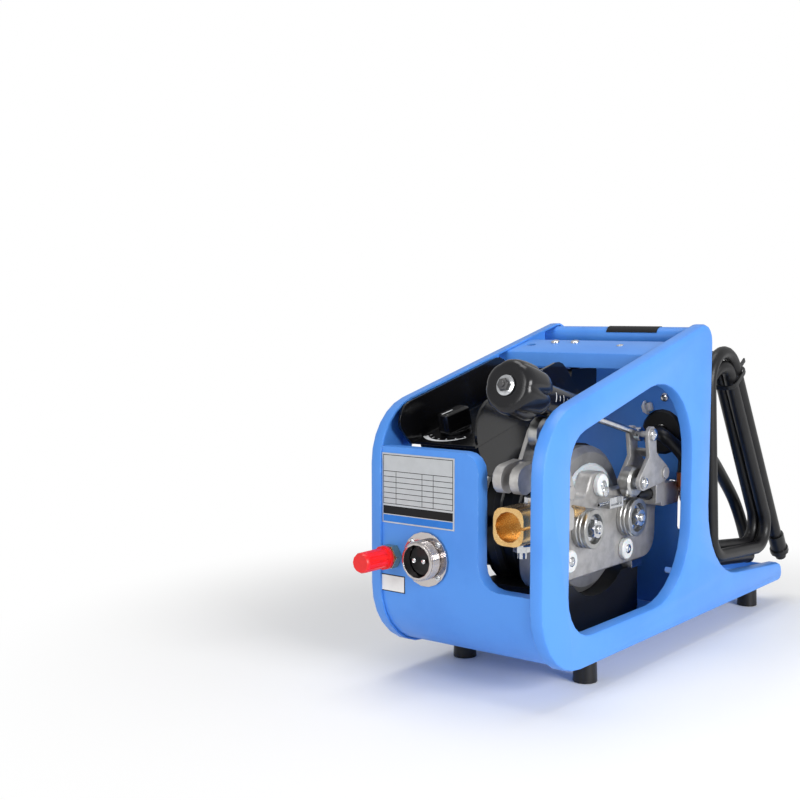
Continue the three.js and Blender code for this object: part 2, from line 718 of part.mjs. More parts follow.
function feedCasting() {
  const { front, wall, back, rim, low, high } = casting;
  const boss = { x: nylonPlaces[0][0], z: nylonPlaces[0][1], radius: castingBossRadius };
  const corners = [
    [castingX0, low, castingCornerRadius],
    [castingX1, low, castingCornerRadius],
    [castingX1, bracketRear.low, lugRadius],
    [bracketRear.x1, bracketRear.low, crease / 2],
    [bracketRear.x1, bracketRear.top - crease * 2, crease * 1.5],
    [bracketRear.x1 - bracketShoulder, bracketRear.top, crease],
    [boss.x + boss.radius * 1.9, high, crease * 2],
    [boss.x + boss.radius, boss.z + boss.radius, boss.radius * 0.8],
    [boss.x - boss.radius, boss.z + boss.radius, boss.radius * 0.8],
    [boss.x - boss.radius * 1.9, high, crease * 2],
    [castingX0, high, castingCornerRadius / 2],
  ];
  const chamfer = rounded(inset(corners, castingEdge));
  const outline = rounded(corners);
  const body = loft([
    { outline: chamfer, depth: front },
    { outline, depth: front + castingEdge },
    { outline, depth: back },
  ]);
  const cavity = prism('y', rounded(inset(corners, rim)), front + wall, back + overrun);
  const pads = [rollerRearX, rollerFrontX].map((x) =>
    disc('y', x, rollerZ, bearingRadius + rim, front, front + wall));
  const bosses = nylonPlaces.map(([x, z]) => disc('y', x, z, nylonScrewRadius + rim, front, back));
  const bores = [rollerRearX, rollerFrontX].map((x) =>
    drilled('y', x, rollerZ, shaftRadius + gap, front - overrun, front + wall + overrun));
  const shaftRoom = motorShaftRadius + 4 * gap;
  const shaftHole = drilled('y', pinionX, rollerZ, shaftRoom, front + wall / 2, front + wall + overrun);
  const tapped = nylonPlaces.map(([x, z]) =>
    drilled('y', x, z, nylonScrewRadius / 2 + gap, front - overrun, front + wall * 2));
  const brackets = [bracketRear, bracketFront].map((b) => {
    const side = rounded([
      [b.x0, b.low, crease], [b.x1, b.low, crease], [b.x1, b.top - crease, crease * 1.4],
      [b.x1 - crease * 2, b.top, crease], [b.x0, b.top, crease],
    ]);
    return prism('y', side, b.front, front + wall);
  });
  const lugs = [rearPivot, frontPivot].map(([x, z]) => {
    const lugLow = bracketRear.low + crease;
    const neck = block(x - lugRadius, x + lugRadius, lugFrontY, lugBackY, lugLow, z);
    const foot = block(x - lugRadius, x + lugRadius, lugFrontY, front + wall, lugLow, high - crease);
    return join([neck, foot, disc('y', x, z, lugRadius, lugFrontY, lugBackY)]);
  });
  const pins = [rearPivot, frontPivot].map((place) => armPin(place, false));
  const guides = drilled('x', wireY, wireZ, guideRadius + gap, torch.x1, bracketRear.x1 + overrun);
  return join([body.subtract(cavity), ...pads, ...bosses, ...brackets, ...lugs])
    .subtract(join([...bores, shaftHole, ...tapped, guides])).add(join(pins));
}

function nylonWasher([x, z]) {
  const seat = casting.front - gap;
  const bore = nylonScrewRadius / 2 + gap;
  const ring = [
    [bore, seat - nylonHeight / 2], [nylonScrewRadius + gap, seat - nylonHeight / 2],
    [nylonScrewRadius + gap, seat - nylonHeight], [nylonRadius - crease / 4, seat - nylonHeight],
    [nylonRadius, seat - nylonHeight + crease / 4], [nylonRadius, seat], [bore, seat],
  ];
  return turned([...ring, ring[0]], [x, 0, z], Y);
}

// A plate drawn tight round bosses, each [x, z, radius], listed counter-clockwise
function wrapped(bosses, y0, y1) {
  const normals = bosses.map(([x, z, radius], i) => {
    const [nextX, nextZ, nextRadius] = bosses[(i + 1) % bosses.length];
    const reach = Math.hypot(nextX - x, nextZ - z);
    return Math.atan2(nextZ - z, nextX - x) - Math.acos((radius - nextRadius) / reach);
  });
  const outline = bosses.flatMap(([x, z, radius], i) => {
    const start = normals[(i + bosses.length - 1) % bosses.length];
    const turn = THREE.MathUtils.euclideanModulo(normals[i] - start, 2 * Math.PI);
    const steps = flatsFor(radius, turn);
    return Array.from({ length: steps + 1 }, (_, k) => {
      const angle = start + (turn * k) / steps;
      return point(x + radius * Math.cos(angle), z + radius * Math.sin(angle));
    });
  });
  return prism('y', outline, y0, y1);
}
const link = (a, b, radiusA, radiusB, y0, y1) => wrapped([[...a, radiusA], [...b, radiusB]], y0, y1);

function rearArm() {
  const cheeks = [cheekFront, cheekRear].map(({ y0, y1 }, i) => {
    const low = i === 0 ? armBoss : rollerBossRear;
    const waist = [
      (rearPivot[0] + rearRoller[0] + rearTop[0] * 2) / 4,
      (rearPivot[1] + rearRoller[1] + rearTop[1] * 2) / 4,
    ];
    return wrapped([[...rearPivot, armBoss], [...waist, armWaist], [...rearRoller, low]], y0, y1)
      .add(link(waist, rearTop, armWaist * 1.3, armBoss, y0, y1));
  });
  const web = link(
    [rearPivot[0] - lugRadius, rearPivot[1] + lugRadius * 1.9],
    [rearTop[0] + armBoss, rearTop[1] - armBoss * 2],
    sheet, sheet, cheekFront.y1 - gap, cheekRear.y0 + gap,
  );
  const bores = [rearPivot, rearRoller].map(([x, z]) =>
    drilled('y', x, z, pivotPinRadius + gap, cheekFront.y0 - overrun, cheekRear.y1 + overrun));
  return join([...cheeks, web]).subtract(join(bores)).add(armPin(rearTop, false));
}

// The front arm is drawn shut over its drive roller, then swung open to where it stands
function swungOpen(body) {
  const about = new THREE.Matrix4().makeTranslation(frontPivot[0], 0, frontPivot[1])
    .multiply(new THREE.Matrix4().makeRotationY(frontArmOpen))
    .multiply(new THREE.Matrix4().makeTranslation(-frontPivot[0], 0, -frontPivot[1]));
  return placed(body, about);
}

function frontArm() {
  const knee = [frontRollerShut[0] - armBoss * 2.2, frontRollerShut[1] + idleRadius + armBoss * 1.5];
  const cheeks = [cheekFront, cheekRear].map(({ y0, y1 }, i) => {
    const low = i === 0 ? armBoss : rollerBossRear;
    return wrapped([[...frontPivot, armBoss], [...frontRollerShut, low], [...knee, armBoss]], y0, y1);
  });
  const bridgeEnd = [knee[0] + armBoss, knee[1] + armBoss];
  const bridge = link(knee, bridgeEnd, armWaist, armWaist, cheekFront.y0, cheekRear.y1);
  const fingers = [fingerFront, fingerRear].map(({ y0, y1 }) =>
    link([knee[0] + armWaist, knee[1] + armWaist], forkShut, armWaist * 1.4, fingerRadius, y0, y1));
  const bores = [frontPivot, frontRollerShut].map(([x, z]) =>
    drilled('y', x, z, pivotPinRadius + gap, cheekFront.y0 - overrun, cheekRear.y1 + overrun));
  return join([...cheeks, bridge, ...fingers]).subtract(join(bores));
}

function idleRoller([x, z]) {
  const rim = crease / 4;
  const profile = [
    [idleBore, idleY0], [idleRadius - 2 * rim, idleY0], [idleRadius, idleY0 + 2 * rim],
    [idleRadius, idleY1 - rim], [idleRadius - rim, idleY1], [idleBore, idleY1],
  ];
  return turned([...profile, profile[0]], [x, 0, z], Y);
}

// A headed pin through both cheeks; a roller's pin is thick between them, as its axle
function armPin([x, z], thick) {
  const y0 = cheekFront.y0 - gap;
  const y1 = cheekRear.y1 + gap;
  const axle = thick ? disc('y', x, z, idlePin, cheekFront.y1 + gap, cheekRear.y0 - gap) : null;
  const heads = [disc('y', x, z, pinHead.radius, y0 - pinHead.height, y0),
    disc('y', x, z, pinHead.radius - crease / 4, y1, y1 + pinHead.height / 2)];
  return join([disc('y', x, z, pivotPinRadius, y0 - gap, y1 + gap), ...heads, ...(axle ? [axle] : [])]);
}

// Handle pieces are turned about its own axis, which leaves the rear arm's top pin
const handleAxis = new THREE.Vector3(-Math.cos(handleLift), 0, Math.sin(handleLift));
const handlePin = [rearTop[0], handleY, rearTop[1]];
const alongHandle = (profile, steps) => turned(profile, handlePin, handleAxis, steps);

function handleRod() {
  const eye = disc('y', ...rearTop, eyeRadius, handleY - eyeWidth / 2, handleY + eyeWidth / 2);
  const bore = drilled('y', ...rearTop, pivotPinRadius + gap, handleY - eyeWidth, handleY + eyeWidth);
  const shank = alongHandle([
    [0, eyeRadius / 2], [rodRadius, eyeRadius / 2], [rodRadius, rodEnd], [0, rodEnd],
  ]);
  const collar = alongHandle([
    [0, sleeve.start - gap * 2 - rodFlat / 4], [rodRadius * 2, sleeve.start - gap * 2 - rodFlat / 4],
    [rodRadius * 2, sleeve.start - gap], [0, sleeve.start - gap],
  ]);
  return join([eye, shank, collar]).subtract(bore);
}

function springSleeve() {
  const { start, end, radius, bore, wall } = sleeve;
  const hole = rodRadius + gap;
  const profile = [
    [hole, start], [radius - wall, start], [radius, start + wall], [radius, end], [bore, end],
    [bore, start + wall], [hole, start + wall],
  ];
  return alongHandle([...profile, profile[0]]);
}

function pressureSpring() {
  const { radius, wire, turns, sides, steps } = spring;
  const from = sleeve.start + sleeve.wall + wire + gap;
  const to = sleeve.end - wire - gap;
  const side = new THREE.Vector3().crossVectors(handleAxis, Y).normalize();
  const points = [];
  for (let k = 0; k <= turns * steps; k++) {
    const angle = (2 * Math.PI * k) / steps;
    const reach = from + ((to - from) * k) / (turns * steps);
    const place = new THREE.Vector3(...handlePin).addScaledVector(handleAxis, reach)
      .addScaledVector(side, radius * Math.cos(angle)).addScaledVector(Y, radius * Math.sin(angle));
    points.push(place.toArray());
  }
  return cord(points, sides, turns * steps, wire);
}

function pressureKnob() {
  const { start, end, radius, waist, lobes, lobeShare, recess, nose } = knob;
  const side = new THREE.Vector3().crossVectors(handleAxis, Y).normalize();
  // Scalloped grip: each ring of the loft is a lobed circle
  const sections = [[start, waist], [start + nose / 2, radius * 0.96], [start + nose, radius],
    [end - nose / 2, radius * 0.94], [end, radius * 0.74]];
  const steps = lobes * 6;
  const grip = skinned(sections.map(([reach, size]) => Array.from({ length: steps }, (_, k) => {
    const angle = (2 * Math.PI * k) / steps;
    const dip = (1 - Math.abs(Math.cos((angle * lobes) / 2))) ** 2;
    const r = size * (1 - 2 * lobeShare * dip);
    return new THREE.Vector3(...handlePin).addScaledVector(handleAxis, reach)
      .addScaledVector(side, r * Math.cos(angle)).addScaledVector(Y, r * Math.sin(angle)).toArray();
  })));
  const room = sleeve.radius + 2 * gap;
  const socket = alongHandle([
    [0, start - overrun], [room, start - overrun], [room, start + recess],
    [rodRadius + gap, start + recess], [rodRadius + gap, end + overrun], [0, end + overrun],
  ]);
  return grip.subtract(socket);
}

function knobNut() {
  const seat = knob.end + gap;
  const hexFrom = seat + knobWasher.height;
  const hexEnd = hexFrom + knobNutHeight;
  const hex = alongHandle([
    [rodRadius + gap, hexFrom - gap], [knobNutFlats / 2, hexFrom - gap], [knobNutFlats / 2, hexEnd],
    [0, hexEnd], [0, hexFrom], [rodRadius + gap, hexFrom], [rodRadius + gap, hexFrom - gap],
  ], 6);
  const washer = alongHandle([
    [0, seat], [knobWasher.radius, seat], [knobWasher.radius, hexFrom], [0, hexFrom],
  ]);
  return washer.add(hex);
}

const guidePlace = [0, wireY, wireZ];
function inletGuide() {
  const profile = [
    [guideBore, inletX0], [guideTip, inletX0], [guideRadius, inletConeX], [guideRadius, bracketRear.x1 + gap],
    [inletCollar, bracketRear.x1 + gap], [inletCollar, inletX1], [inletTipRadius, inletX1],
    [inletTipRadius, inletTipX - inletTipRadius / 2], [inletTipRadius / 1.5, inletTipX],
    [guideBore, inletTipX],
  ];
  return turned([...profile, profile[0]], guidePlace, X);
}

function middleWireGuide() {
  const { x0, x1, blockX0, blockX1, radius, half: reach, front } = middleGuide;
  const tube = disc('x', wireY, wireZ, radius, x0, x1);
  const foot = block(blockX0, blockX1, front, casting.front - gap, wireZ - reach, wireZ + reach);
  const edge = reach / 2;
  const slot = block(blockX0 + edge, blockX1 - edge, front - overrun, wireY - radius - gap,
    wireZ - edge, wireZ + reach + overrun);
  const bore = drilled('x', wireY, wireZ, guideBore, x0 - overrun, x1 + overrun);
  return join([foot.subtract(slot), tube]).subtract(bore);
}

function outletGuide() {
  const profile = [
    [guideBore, outletX0], [guideRadius, outletX0], [guideRadius, outletX0 + guideRadius],
    [guideTip, outletX1], [guideBore, outletX1],
  ];
  return turned([...profile, profile[0]], guidePlace, X);
}

function torchBlock() {
  const { x0, neckX, x1, width, height, bore, depth, slit, shankX } = torch;
  const outline = (w, h, r) => rounded([
    [wireY - w / 2, wireZ - h / 2, r], [wireY + w / 2, wireZ - h / 2, r],
    [wireY + w / 2, wireZ + h / 2, r], [wireY - w / 2, wireZ + h / 2, r],
  ]);
  const head = prism('x', outline(width + crease, height, torchRound), x0, neckX);
  const body = prism('x', outline(width, height - crease, crease), neckX, x1);
  const shank = disc('x', wireY, wireZ, guideRadius, x1, shankX);
  const mouth = drilled('x', wireY, wireZ, bore, x0 - overrun, x0 + depth);
  const through = drilled('x', wireY, wireZ, guideTip, x0, shankX + overrun);
  const cut = block(x0 - overrun, neckX, wireY - width, wireY, wireZ - slit / 2, wireZ + slit / 2);
  return join([head, body, shank]).subtract(join([mouth, through, cut]));
}

const uprightHex = (x, flats, from, to) => prism('z', hexagon(x, wireY, flats), from, to);
function torchClampBolt() {
  const top = wireZ + torch.height / 2 - crease / 2 + gap;
  const { x, washer, thick, flats, height } = torchBolt;
  return disc('z', x, wireY, washer, top, top + thick)
    .add(uprightHex(x, flats, top + thick / 2, top + height));
}

function torchCableStud() {
  const top = wireZ - torch.height / 2 - gap;
  const { x, washer, thick, flats, height, radius } = torchStud;
  return join([
    disc('z', x, wireY, washer, top - thick, top),
    uprightHex(x, flats, top - height, top - thick / 2),
    disc('z', x, wireY, radius, top - height * 1.8, top - height / 2),
  ]);
}

function gearCoverDisc() {
  const { radius, y0, y1 } = gearCover;
  const bore = motorShaftRadius + 4 * gap;
  const profile = [[bore, y0], [radius - hoodWall, y0], [radius, y1], [bore, y1]];
  return turned([...profile, profile[0]], [pinionX, 0, rollerZ], Y);
}

function gearCaseBody() {
  const { radius, y0, y1, step, rim } = gearCase;
  const bore = motorShaftRadius + 4 * gap;
  const profile = [
    [bore, y0], [radius - rim, y0], [radius - rim / 2, y0 + step / 2], [radius, y0 + step],
    [radius, y1], [bore, y1],
  ];
  return turned([...profile, profile[0]], [pinionX, 0, rollerZ], Y);
}

function motorBody() {
  const { width, depth, count } = motorRib;
  const profile = [[0, motorY0], [motorRadius, motorY0]];
  const pitch = (motorY1 - motorY0 - width) / count;
  for (let k = 0; k < count; k++) {
    const y = motorY0 + width + pitch * k;
    const next = y + pitch - width;
    profile.push([motorRadius, y], [motorRadius - depth, y + depth / 2],
      [motorRadius - depth, next - depth / 2], [motorRadius, next]);
  }
  profile.push([motorRadius, motorY1 - width], [motorRadius - width, motorY1], [0, motorY1]);
  const bore = drilled('y', pinionX, rollerZ, motorShaftRadius + gap, motorY0 - overrun, motorY0 + motorBore);
  return join([turned(profile, [pinionX, 0, rollerZ], Y), motorEndCap(), ...brushCaps()]).subtract(bore);
}

function motorEndCap() {
  const { radius, y1, hub, ribs, ribWidth } = endCap;
  const y0 = motorY1 - gap;
  const cap = turned([[0, y0], [radius, y0], [radius, (y0 + y1) / 2], [radius - crease, y1 - crease / 2],
    [hub, y1 - crease / 2], [hub, y1], [0, y1]], [pinionX, 0, rollerZ], Y);
  const slots = [];
  for (let k = 0; k < ribs; k++) {
    const angle = ((k + 0.5) * 2 * Math.PI) / ribs;
    const from = [pinionX + hub * 1.5 * Math.cos(angle), y1, rollerZ + hub * 1.5 * Math.sin(angle)];
    const to = [pinionX + radius * 0.8 * Math.cos(angle), y1, rollerZ + radius * 0.8 * Math.sin(angle)];
    slots.push(bar(from, to, ribWidth));
  }
  return cap.subtract(join(slots));
}

function brushCaps() {
  return [-1, 1].map((side) => {
    const x = pinionX + side * (motorRadius - motorRib.depth * 2);
    const tip = x + side * brushCap.reach * 2;
    return bar([x, brushCap.y, rollerZ], [tip, brushCap.y, rollerZ], brushCap.radius);
  });
}

const baseZ = floorTop + gap;
const baseBoltPlaces = () => [base.x0 - base.footReach / 2, base.x1 + base.footReach / 2].flatMap((x) =>
  [base.y0 + base.footReach, base.y1 - base.footReach].map((y) => [x, y]));

function driveBase() {
  const { x0, x1, y0, y1, top, foot: lip, footReach } = base;
  const body = block(x0, x1, y0, y1, baseZ, top);
  const flangeBlock = block(x0 - footReach, x1 + footReach, y0 + footReach / 2, y1 - footReach / 2,
    baseZ, baseZ + lip);
  const saddle = drilled('y', pinionX, rollerZ, motorRadius + gap, motorY0 - gap, y1 + overrun);
  const caseSeat = drilled('y', pinionX, rollerZ, gearCase.radius + gap, y0 - overrun, motorY0 + gap);
  const holes = baseBoltPlaces().map(([x, y]) =>
    drilled('z', x, y, baseBoltRadius + gap, baseZ - overrun, baseZ + lip + overrun));
  return join([body, flangeBlock]).subtract(join([saddle, caseSeat, ...holes]));
}

function castingClip() {
  const low = base.top + gap;
  return block(clip.x0, clip.x1, clip.y0, clip.y1, low, casting.low - gap)
    .subtract(drilled('y', pinionX, rollerZ, gearCase.radius + gap, clip.y0 - overrun, clip.y1 + overrun));
}

const slopeNormal = new THREE.Vector3(-Math.sin(slope), 0, Math.cos(slope));
const alongSlope = ([s, drop, radius]) => [
  -half.length + s * Math.cos(slope) + drop * Math.sin(slope),
  frontEdgeTop + s * Math.sin(slope) - drop * Math.cos(slope),
  radius,
];
const slopePrism = (corners, y0, y1) => prism('y', rounded(corners.map(alongSlope)), y0, y1);

const hoodFoot = hoodDrop + hoodWall;
const hoodTail = (crest) => [[hoodCrestEnd, crest, hoodTailRadius], [hoodEnd, hoodFoot, hoodWall / 2]];
const hoodNear = [
  [hoodNearWall.toe, hoodFoot, hoodNearWall.toeRadius],
  [hoodNearWall.brow, hoodNearWall.crest, hoodNearWall.browRadius],
  ...hoodTail(hoodNearWall.crest),
];
const hoodFar = [
  [hoodFarWall.toe, hoodFoot, hoodFarWall.toeRadius],
  [hoodFarWall.nose, hoodFarWall.nose, hoodFarWall.noseRadius],
  [hoodFarWall.brow, hoodFarWall.crest, hoodFarWall.browRadius],
  ...hoodTail(hoodFarWall.crest),
];
const skirtRoof = hoodFoot - hoodWall / 5;
const skirtOutline = [
  [skirt.start, skirtRoof, skirt.radius], [skirt.end, skirtRoof, skirt.radius],
  [skirt.end, skirt.low, skirt.endRadius], [skirt.lowStart, skirt.low, skirt.lowRadius],
];

function controlHood() {
  const near = slopePrism(hoodNear, hoodY0, hoodY0 + hoodWall);
  const far = slopePrism(hoodFar, hoodY1 - hoodWall, hoodY1);
  const floor = slopePrism([
    [hoodFloorStart, hoodDrop, 0], [hoodEnd, hoodDrop, 0],
    [hoodEnd, hoodFoot, 0], [hoodFloorStart, hoodFoot, 0],
  ], hoodY0, hoodY1);
  const shell = slopePrism(skirtOutline, skirtY0, skirtY1);
  const hollow = slopePrism(inset(skirtOutline, hoodWall).map(([s, drop, r]) =>
    [s, drop > skirtRoof + hoodWall * 2 ? drop + hoodWall + overrun : drop, r]),
  skirtY0 + hoodWall, skirtY1 - hoodWall);
  const { x0, x1, y0, y1, z0, z1 } = hoodBox;
  const box = prism('y', rounded([
    [x0, z0, hoodWall], [x1, z0, hoodWall], [x1, z1, hoodWall], [x0, z1, hoodWall],
  ]), y0, y1);
  const posts = railScrewPlaces.map(([x, y]) => {
    const railUnder = onSlope(x, railDrop + sheet + 2 * gap)[1] - hoodPostRadius * Math.tan(slope);
    return bar([x, y, z1 - gap], [x, y, railUnder], hoodPostRadius);
  });
  const sockets = railScrewPlaces.map(([x, y]) => {
    const top = onSlope(x, railDrop - gap)[1];
    const lean = slopeNormal.clone().multiplyScalar(-(panScrewReach + sheet + 3 * gap));
    return bar([x, y, top], [x + lean.x, y, top + lean.z], panScrewShank + gap);
  });
  const shaftHole = onHood(drilled('z', 0, 0, potShaft + gap, -hoodRoof - overrun, overrun));
  return join([near, far, floor, shell.subtract(hollow), box, ...posts])
    .subtract(join([...sockets, shaftHole]));
}

const hoodRoof = skirtRoof + hoodWall - hoodDrop;
const knobPlace = (drop) => {
  const [x, z] = onSlope(knobSpot.x, drop);
  return [x, knobSpot.y, z];
};

// Pieces of the control stand square to the hood's sloping floor
function onHood(body) {
  const stand = new THREE.Matrix4().makeRotationY(-slope).setPosition(...knobPlace(hoodDrop));
  return placed(body, stand);
}

function currentKnob() {
  const { length, width, height, taper, corner } = knobBar;
  const flangeDisc = disc('z', 0, 0, knobSkirt.radius, gap, knobSkirt.height);
  const low = rounded([
    [-length / 2, -width / 2, corner], [length / 2, -width / 2, corner],
    [length / 2, width / 2, corner], [-length / 2, width / 2, corner],
  ]);
  const turnBy = (p, inward) =>
    point(p.x * (1 - inward / length), p.y * (1 - inward / width)).rotateAround(point(0, 0), knobTurn);
  const rings = [[knobSkirt.height - gap, 0], [height - taper, taper], [height, taper * 3]];
  const grip = skinned(rings.map(([z, inward]) => low.map((p) => {
    const q = turnBy(p, inward);
    return [q.x, q.y, z];
  })));
  const shaft = disc('z', 0, 0, potShaft, -hoodRoof - potBody.height / 2, height / 2);
  return onHood(join([flangeDisc, grip, shaft]));
}

function potentiometer() {
  const top = -hoodRoof - gap;
  return onHood(disc('z', 0, 0, potBody.radius, top - potBody.height, top)
    .subtract(drilled('z', 0, 0, potShaft + gap, -hoodRoof - potBody.height / 2 - gap, top + overrun)));
}

const faceX = panelX - gap;
function gasFitting() {
  const { thread, flats, hexX, collar, nipple, nippleX, tail, barb } = gas;
  const behind = panelX + sheet + gap;
  const nut = prism('x', hexagon(gasY, gasZ, flats), faceX - hexX, faceX);
  const body = turned([
    [0, faceX - nippleX], [nipple * 0.8, faceX - nippleX], [nipple, faceX - nippleX + sheet],
    [nipple, faceX - hexX - sheet],
    [collar * 0.8, faceX - hexX - sheet], [collar * 0.8, faceX - hexX + gap],
    [thread - gap, faceX - hexX + gap],
    [thread - gap, behind + tail / 2], [barb, behind + tail / 2], [barb, behind + tail], [0, behind + tail],
  ], [0, gasY, gasZ], X);
  const lock = prism('x', hexagon(gasY, gasZ, flats), behind, behind + hexX / 2);
  return join([nut, body, lock]);
}

function gasCap() {
  const { radius, flange: rim, flangeLength, length, bore, ribs, ribDepth } = gasCapShape;
  const end = faceX - gas.hexX - sheet - gap;
  const body = turned([
    [0, end - length], [radius - sheet / 2, end - length], [radius, end - length + sheet],
    [radius, end - flangeLength], [rim, end - flangeLength], [rim, end], [0, end],
  ], [0, gasY, gasZ], X);
  const hole = drilled('x', gasY, gasZ, bore, faceX - gas.nippleX - gap, end + overrun);
  const grooves = Array.from({ length: ribs }, (_, k) => {
    const angle = (2 * Math.PI * k) / ribs;
    return disc('x', gasY + radius * Math.cos(angle), gasZ + radius * Math.sin(angle), ribDepth,
      end - length + sheet * 2, end - flangeLength * 2, 6);
  });
  return body.subtract(join([hole, ...grooves]));
}

function socketShell() {
  const { flange: rim, thick, shell, mouth, reach, floor, body, depth } = socket;
  const plate = disc('x', socketY, socketZ, rim, faceX - thick, faceX);
  const tube = turned([
    [0, faceX - reach], [shell - gap * 3, faceX - reach], [shell, faceX - reach + gap * 3],
    [shell, faceX - thick / 2], [body, faceX - thick / 2], [body, faceX + depth], [0, faceX + depth],
  ], [0, socketY, socketZ], X);
  const cavity = drilled('x', socketY, socketZ, mouth, faceX - reach - overrun, faceX + floor);
  const holes = socketScrewPlaces().map(([y, z]) =>
    drilled('x', y, z, socketScrew.shank + gap, faceX - thick - overrun, faceX + overrun));
  return plate.add(tube).subtract(join([cavity, ...holes]));
}

const socketScrewPlaces = () => Array.from({ length: socketScrew.count }, (_, k) => {
  const angle = ((k + 0.5) * 2 * Math.PI) / socketScrew.count;
  return [socketY + socketScrew.circle * Math.cos(angle), socketZ + socketScrew.circle * Math.sin(angle)];
});

function socketInsert() {
  const { mouth, reach, floor } = socket;
  const disk = disc('x', socketY, socketZ, mouth - gap, faceX - reach * 0.35, faceX + floor - gap);
  const key = block(faceX - reach * 0.8, faceX, socketY - socketKey.width / 2, socketY + socketKey.width / 2,
    socketZ + mouth - gap - socketKey.depth * 1.5, socketZ + mouth - gap * 3);
  const pins = [-1, 1].map((side) => disc('x', socketY + side * socketPin.offset, socketZ, socketPin.radius,
    faceX - reach * 0.35 - socketPin.reach / 1.5, faceX));
  return join([disk, key, ...pins]);
}

function panelHoles() {
  const x0 = panelX - overrun;
  const x1 = panelX + sheet + overrun;
  return [
    drilled('x', gasY, gasZ, gas.thread + gap, x0, x1),
    drilled('x', socketY, socketZ, socket.body + gap, x0, x1),
    ...socketScrewPlaces().map(([y, z]) => drilled('x', y, z, socketScrew.shank + gap, x0, x1)),
  ];
}

function rubberGrommet() {
  const { flange: rim, lip, bore } = grommet;
  const x0 = bulkheadX0 - gap;
  const x1 = bulkheadX1 + gap;
  const profile = [
    [bore, x0 - lip], [rim - lip, x0 - lip], [rim, x0], [grommetHoleRadius - gap, x0],
    [grommetHoleRadius - gap, x1], [rim, x1], [rim - lip, x1 + lip], [bore, x1 + lip],
  ];
  return turned([...profile, profile[0]], [0, cableY, cableZ], X);
}

const valveMiddle = [(valve.y0 + valve.y1) / 2, (valve.z0 + valve.z1) / 2];
function gasValve() {
  const { x0, x1, y0, y1, z0, z1, corner, coil, coilHeight, barb, reach } = valve;
  const body = prism('x', rounded([
    [y0, z0, corner], [y1, z0, corner], [y1, z1, corner], [y0, z1, corner],
  ]), x0, x1);
  const solenoid = disc('z', (x0 + x1) / 2, valveMiddle[0], coil, z1 - gap, z1 + coilHeight);
  const spigot = disc('x', ...valveMiddle, barb, x0 - reach, x0 + gap);
  const stub = disc('x', ...valveMiddle, barb * 1.4, x1 - gap, bulkheadX0 - gap);
  return join([body, solenoid, spigot, stub]);
}

// The hose runs from the fitting behind the panel along the far side, and over the valve's spigot
function gasLine() {
  const start = panelX + sheet + gap + gas.tail + gap;
  const end = valve.x0 - valve.reach / 2;
  const hose = cord([
    [start, gasY, gasZ], [start + hoseLead, gasY, gasZ], [-180, 70, 104], [-120, 71, 88], [-60, 70, 76],
    [end - hoseLead, ...valveMiddle], [end, ...valveMiddle],
  ], hoseSides, hoseSteps, hoseRadius);
  return hose.add(gasValve());
}

const leadX = bulkheadX1 + gap + grommet.lip + gap;
function innerCable() {
  const x = bulkheadX0 - grommet.lip - 2 * gap - cableRadius;
  const top = lug.z + lug.length / 2;
  return cord([
    [x, lug.y, top + gap], [x, lug.y, top + lug.length], [36, -62, 191], [32, -50, 202],
    [42, cableY, cableZ], [50, cableY, cableZ], [leadX - gap, cableY, cableZ],
  ], cableSides, innerSteps);
}

function cableLug() {
  const { y, z, barrel, length, palm, width, thick, bolt } = lug;
  const x = bulkheadX0 - grommet.lip - 2 * gap - cableRadius;
  const tube = disc('z', x, y, barrel, z - length / 2, z + length / 2);
  const seat = bulkheadX0 - gap;
  const tongue = prism('x', rounded([
    [y - width / 2, z - length / 2 - palm, width / 3], [y + width / 2, z - length / 2 - palm, width / 3],
    [y + width / 2, z - length / 4, 0], [y - width / 2, z - length / 4, 0],
  ]), seat - thick, seat);
  const shoulder = block(x, seat, y - width / 2.4, y + width / 2.4, z - length / 2, z - length / 4);
  const hole = drilled('x', y, z - length / 2 - palm / 2, bolt + gap, seat - thick - overrun, seat + overrun);
  return join([tube, tongue, shoulder]).subtract(hole);
}

// One closed round of the hank: a triangle with round corners, as wide as the strand lies out from it
const hankSpans = (() => {
  const { top, tail, foot } = hankCentres;
  const lean = Math.atan2(tail[0] - top[0], top[1] - tail[1]);
  const under = Math.atan2(foot[1] - tail[1], tail[0] - foot[0]);
  const back = Math.atan2(top[0] - foot[0], top[1] - foot[1]);
  const normals = { left: Math.PI + back, slant: lean, under: -Math.PI / 2 - under };
  return [
    { steps: 3, from: foot, to: top, start: normals.left, end: normals.left },
    { steps: 7, from: top, to: top, start: normals.left, end: normals.slant },
    { steps: 3, from: top, to: tail, start: normals.slant, end: normals.slant },
    { steps: 5, from: tail, to: tail, start: normals.slant, end: normals.under },
    { steps: 3, from: tail, to: foot, start: normals.under, end: normals.under },
    { steps: 3, from: foot, to: foot, start: normals.under, end: normals.left - 2 * Math.PI },
  ];
})();

function hankPoint(turn) {
  const phase = (turn + hankStart) % 1;
  let step = phase * hankStepsPerTurn;
  let i = 0;
  while (i < hankSpans.length - 1 && step > hankSpans[i].steps) {
    step -= hankSpans[i].steps;
    i += 1;
  }
  const { steps, from, to, start, end } = hankSpans[i];
  const share = step / steps;
  const angle = start + (end - start) * share;
  const out = hankRadius - hankPitch * Math.min(turn, hankTurns - turn);
  const climb = THREE.MathUtils.smoothstep(turn, hankTurns / 2 - climbTurns, hankTurns / 2 + climbTurns);
  return [
    from[0] + (to[0] - from[0]) * share + out * Math.cos(angle),
    hankFarY - hankPitch * climb,
    from[1] + (to[1] - from[1]) * share + out * Math.sin(angle),
  ];
}

const hankLine = () => {
  const count = Math.round(hankTurns * hankStepsPerTurn);
  return Array.from({ length: count + 1 }, (_, k) => hankPoint((hankTurns * k) / count));
};

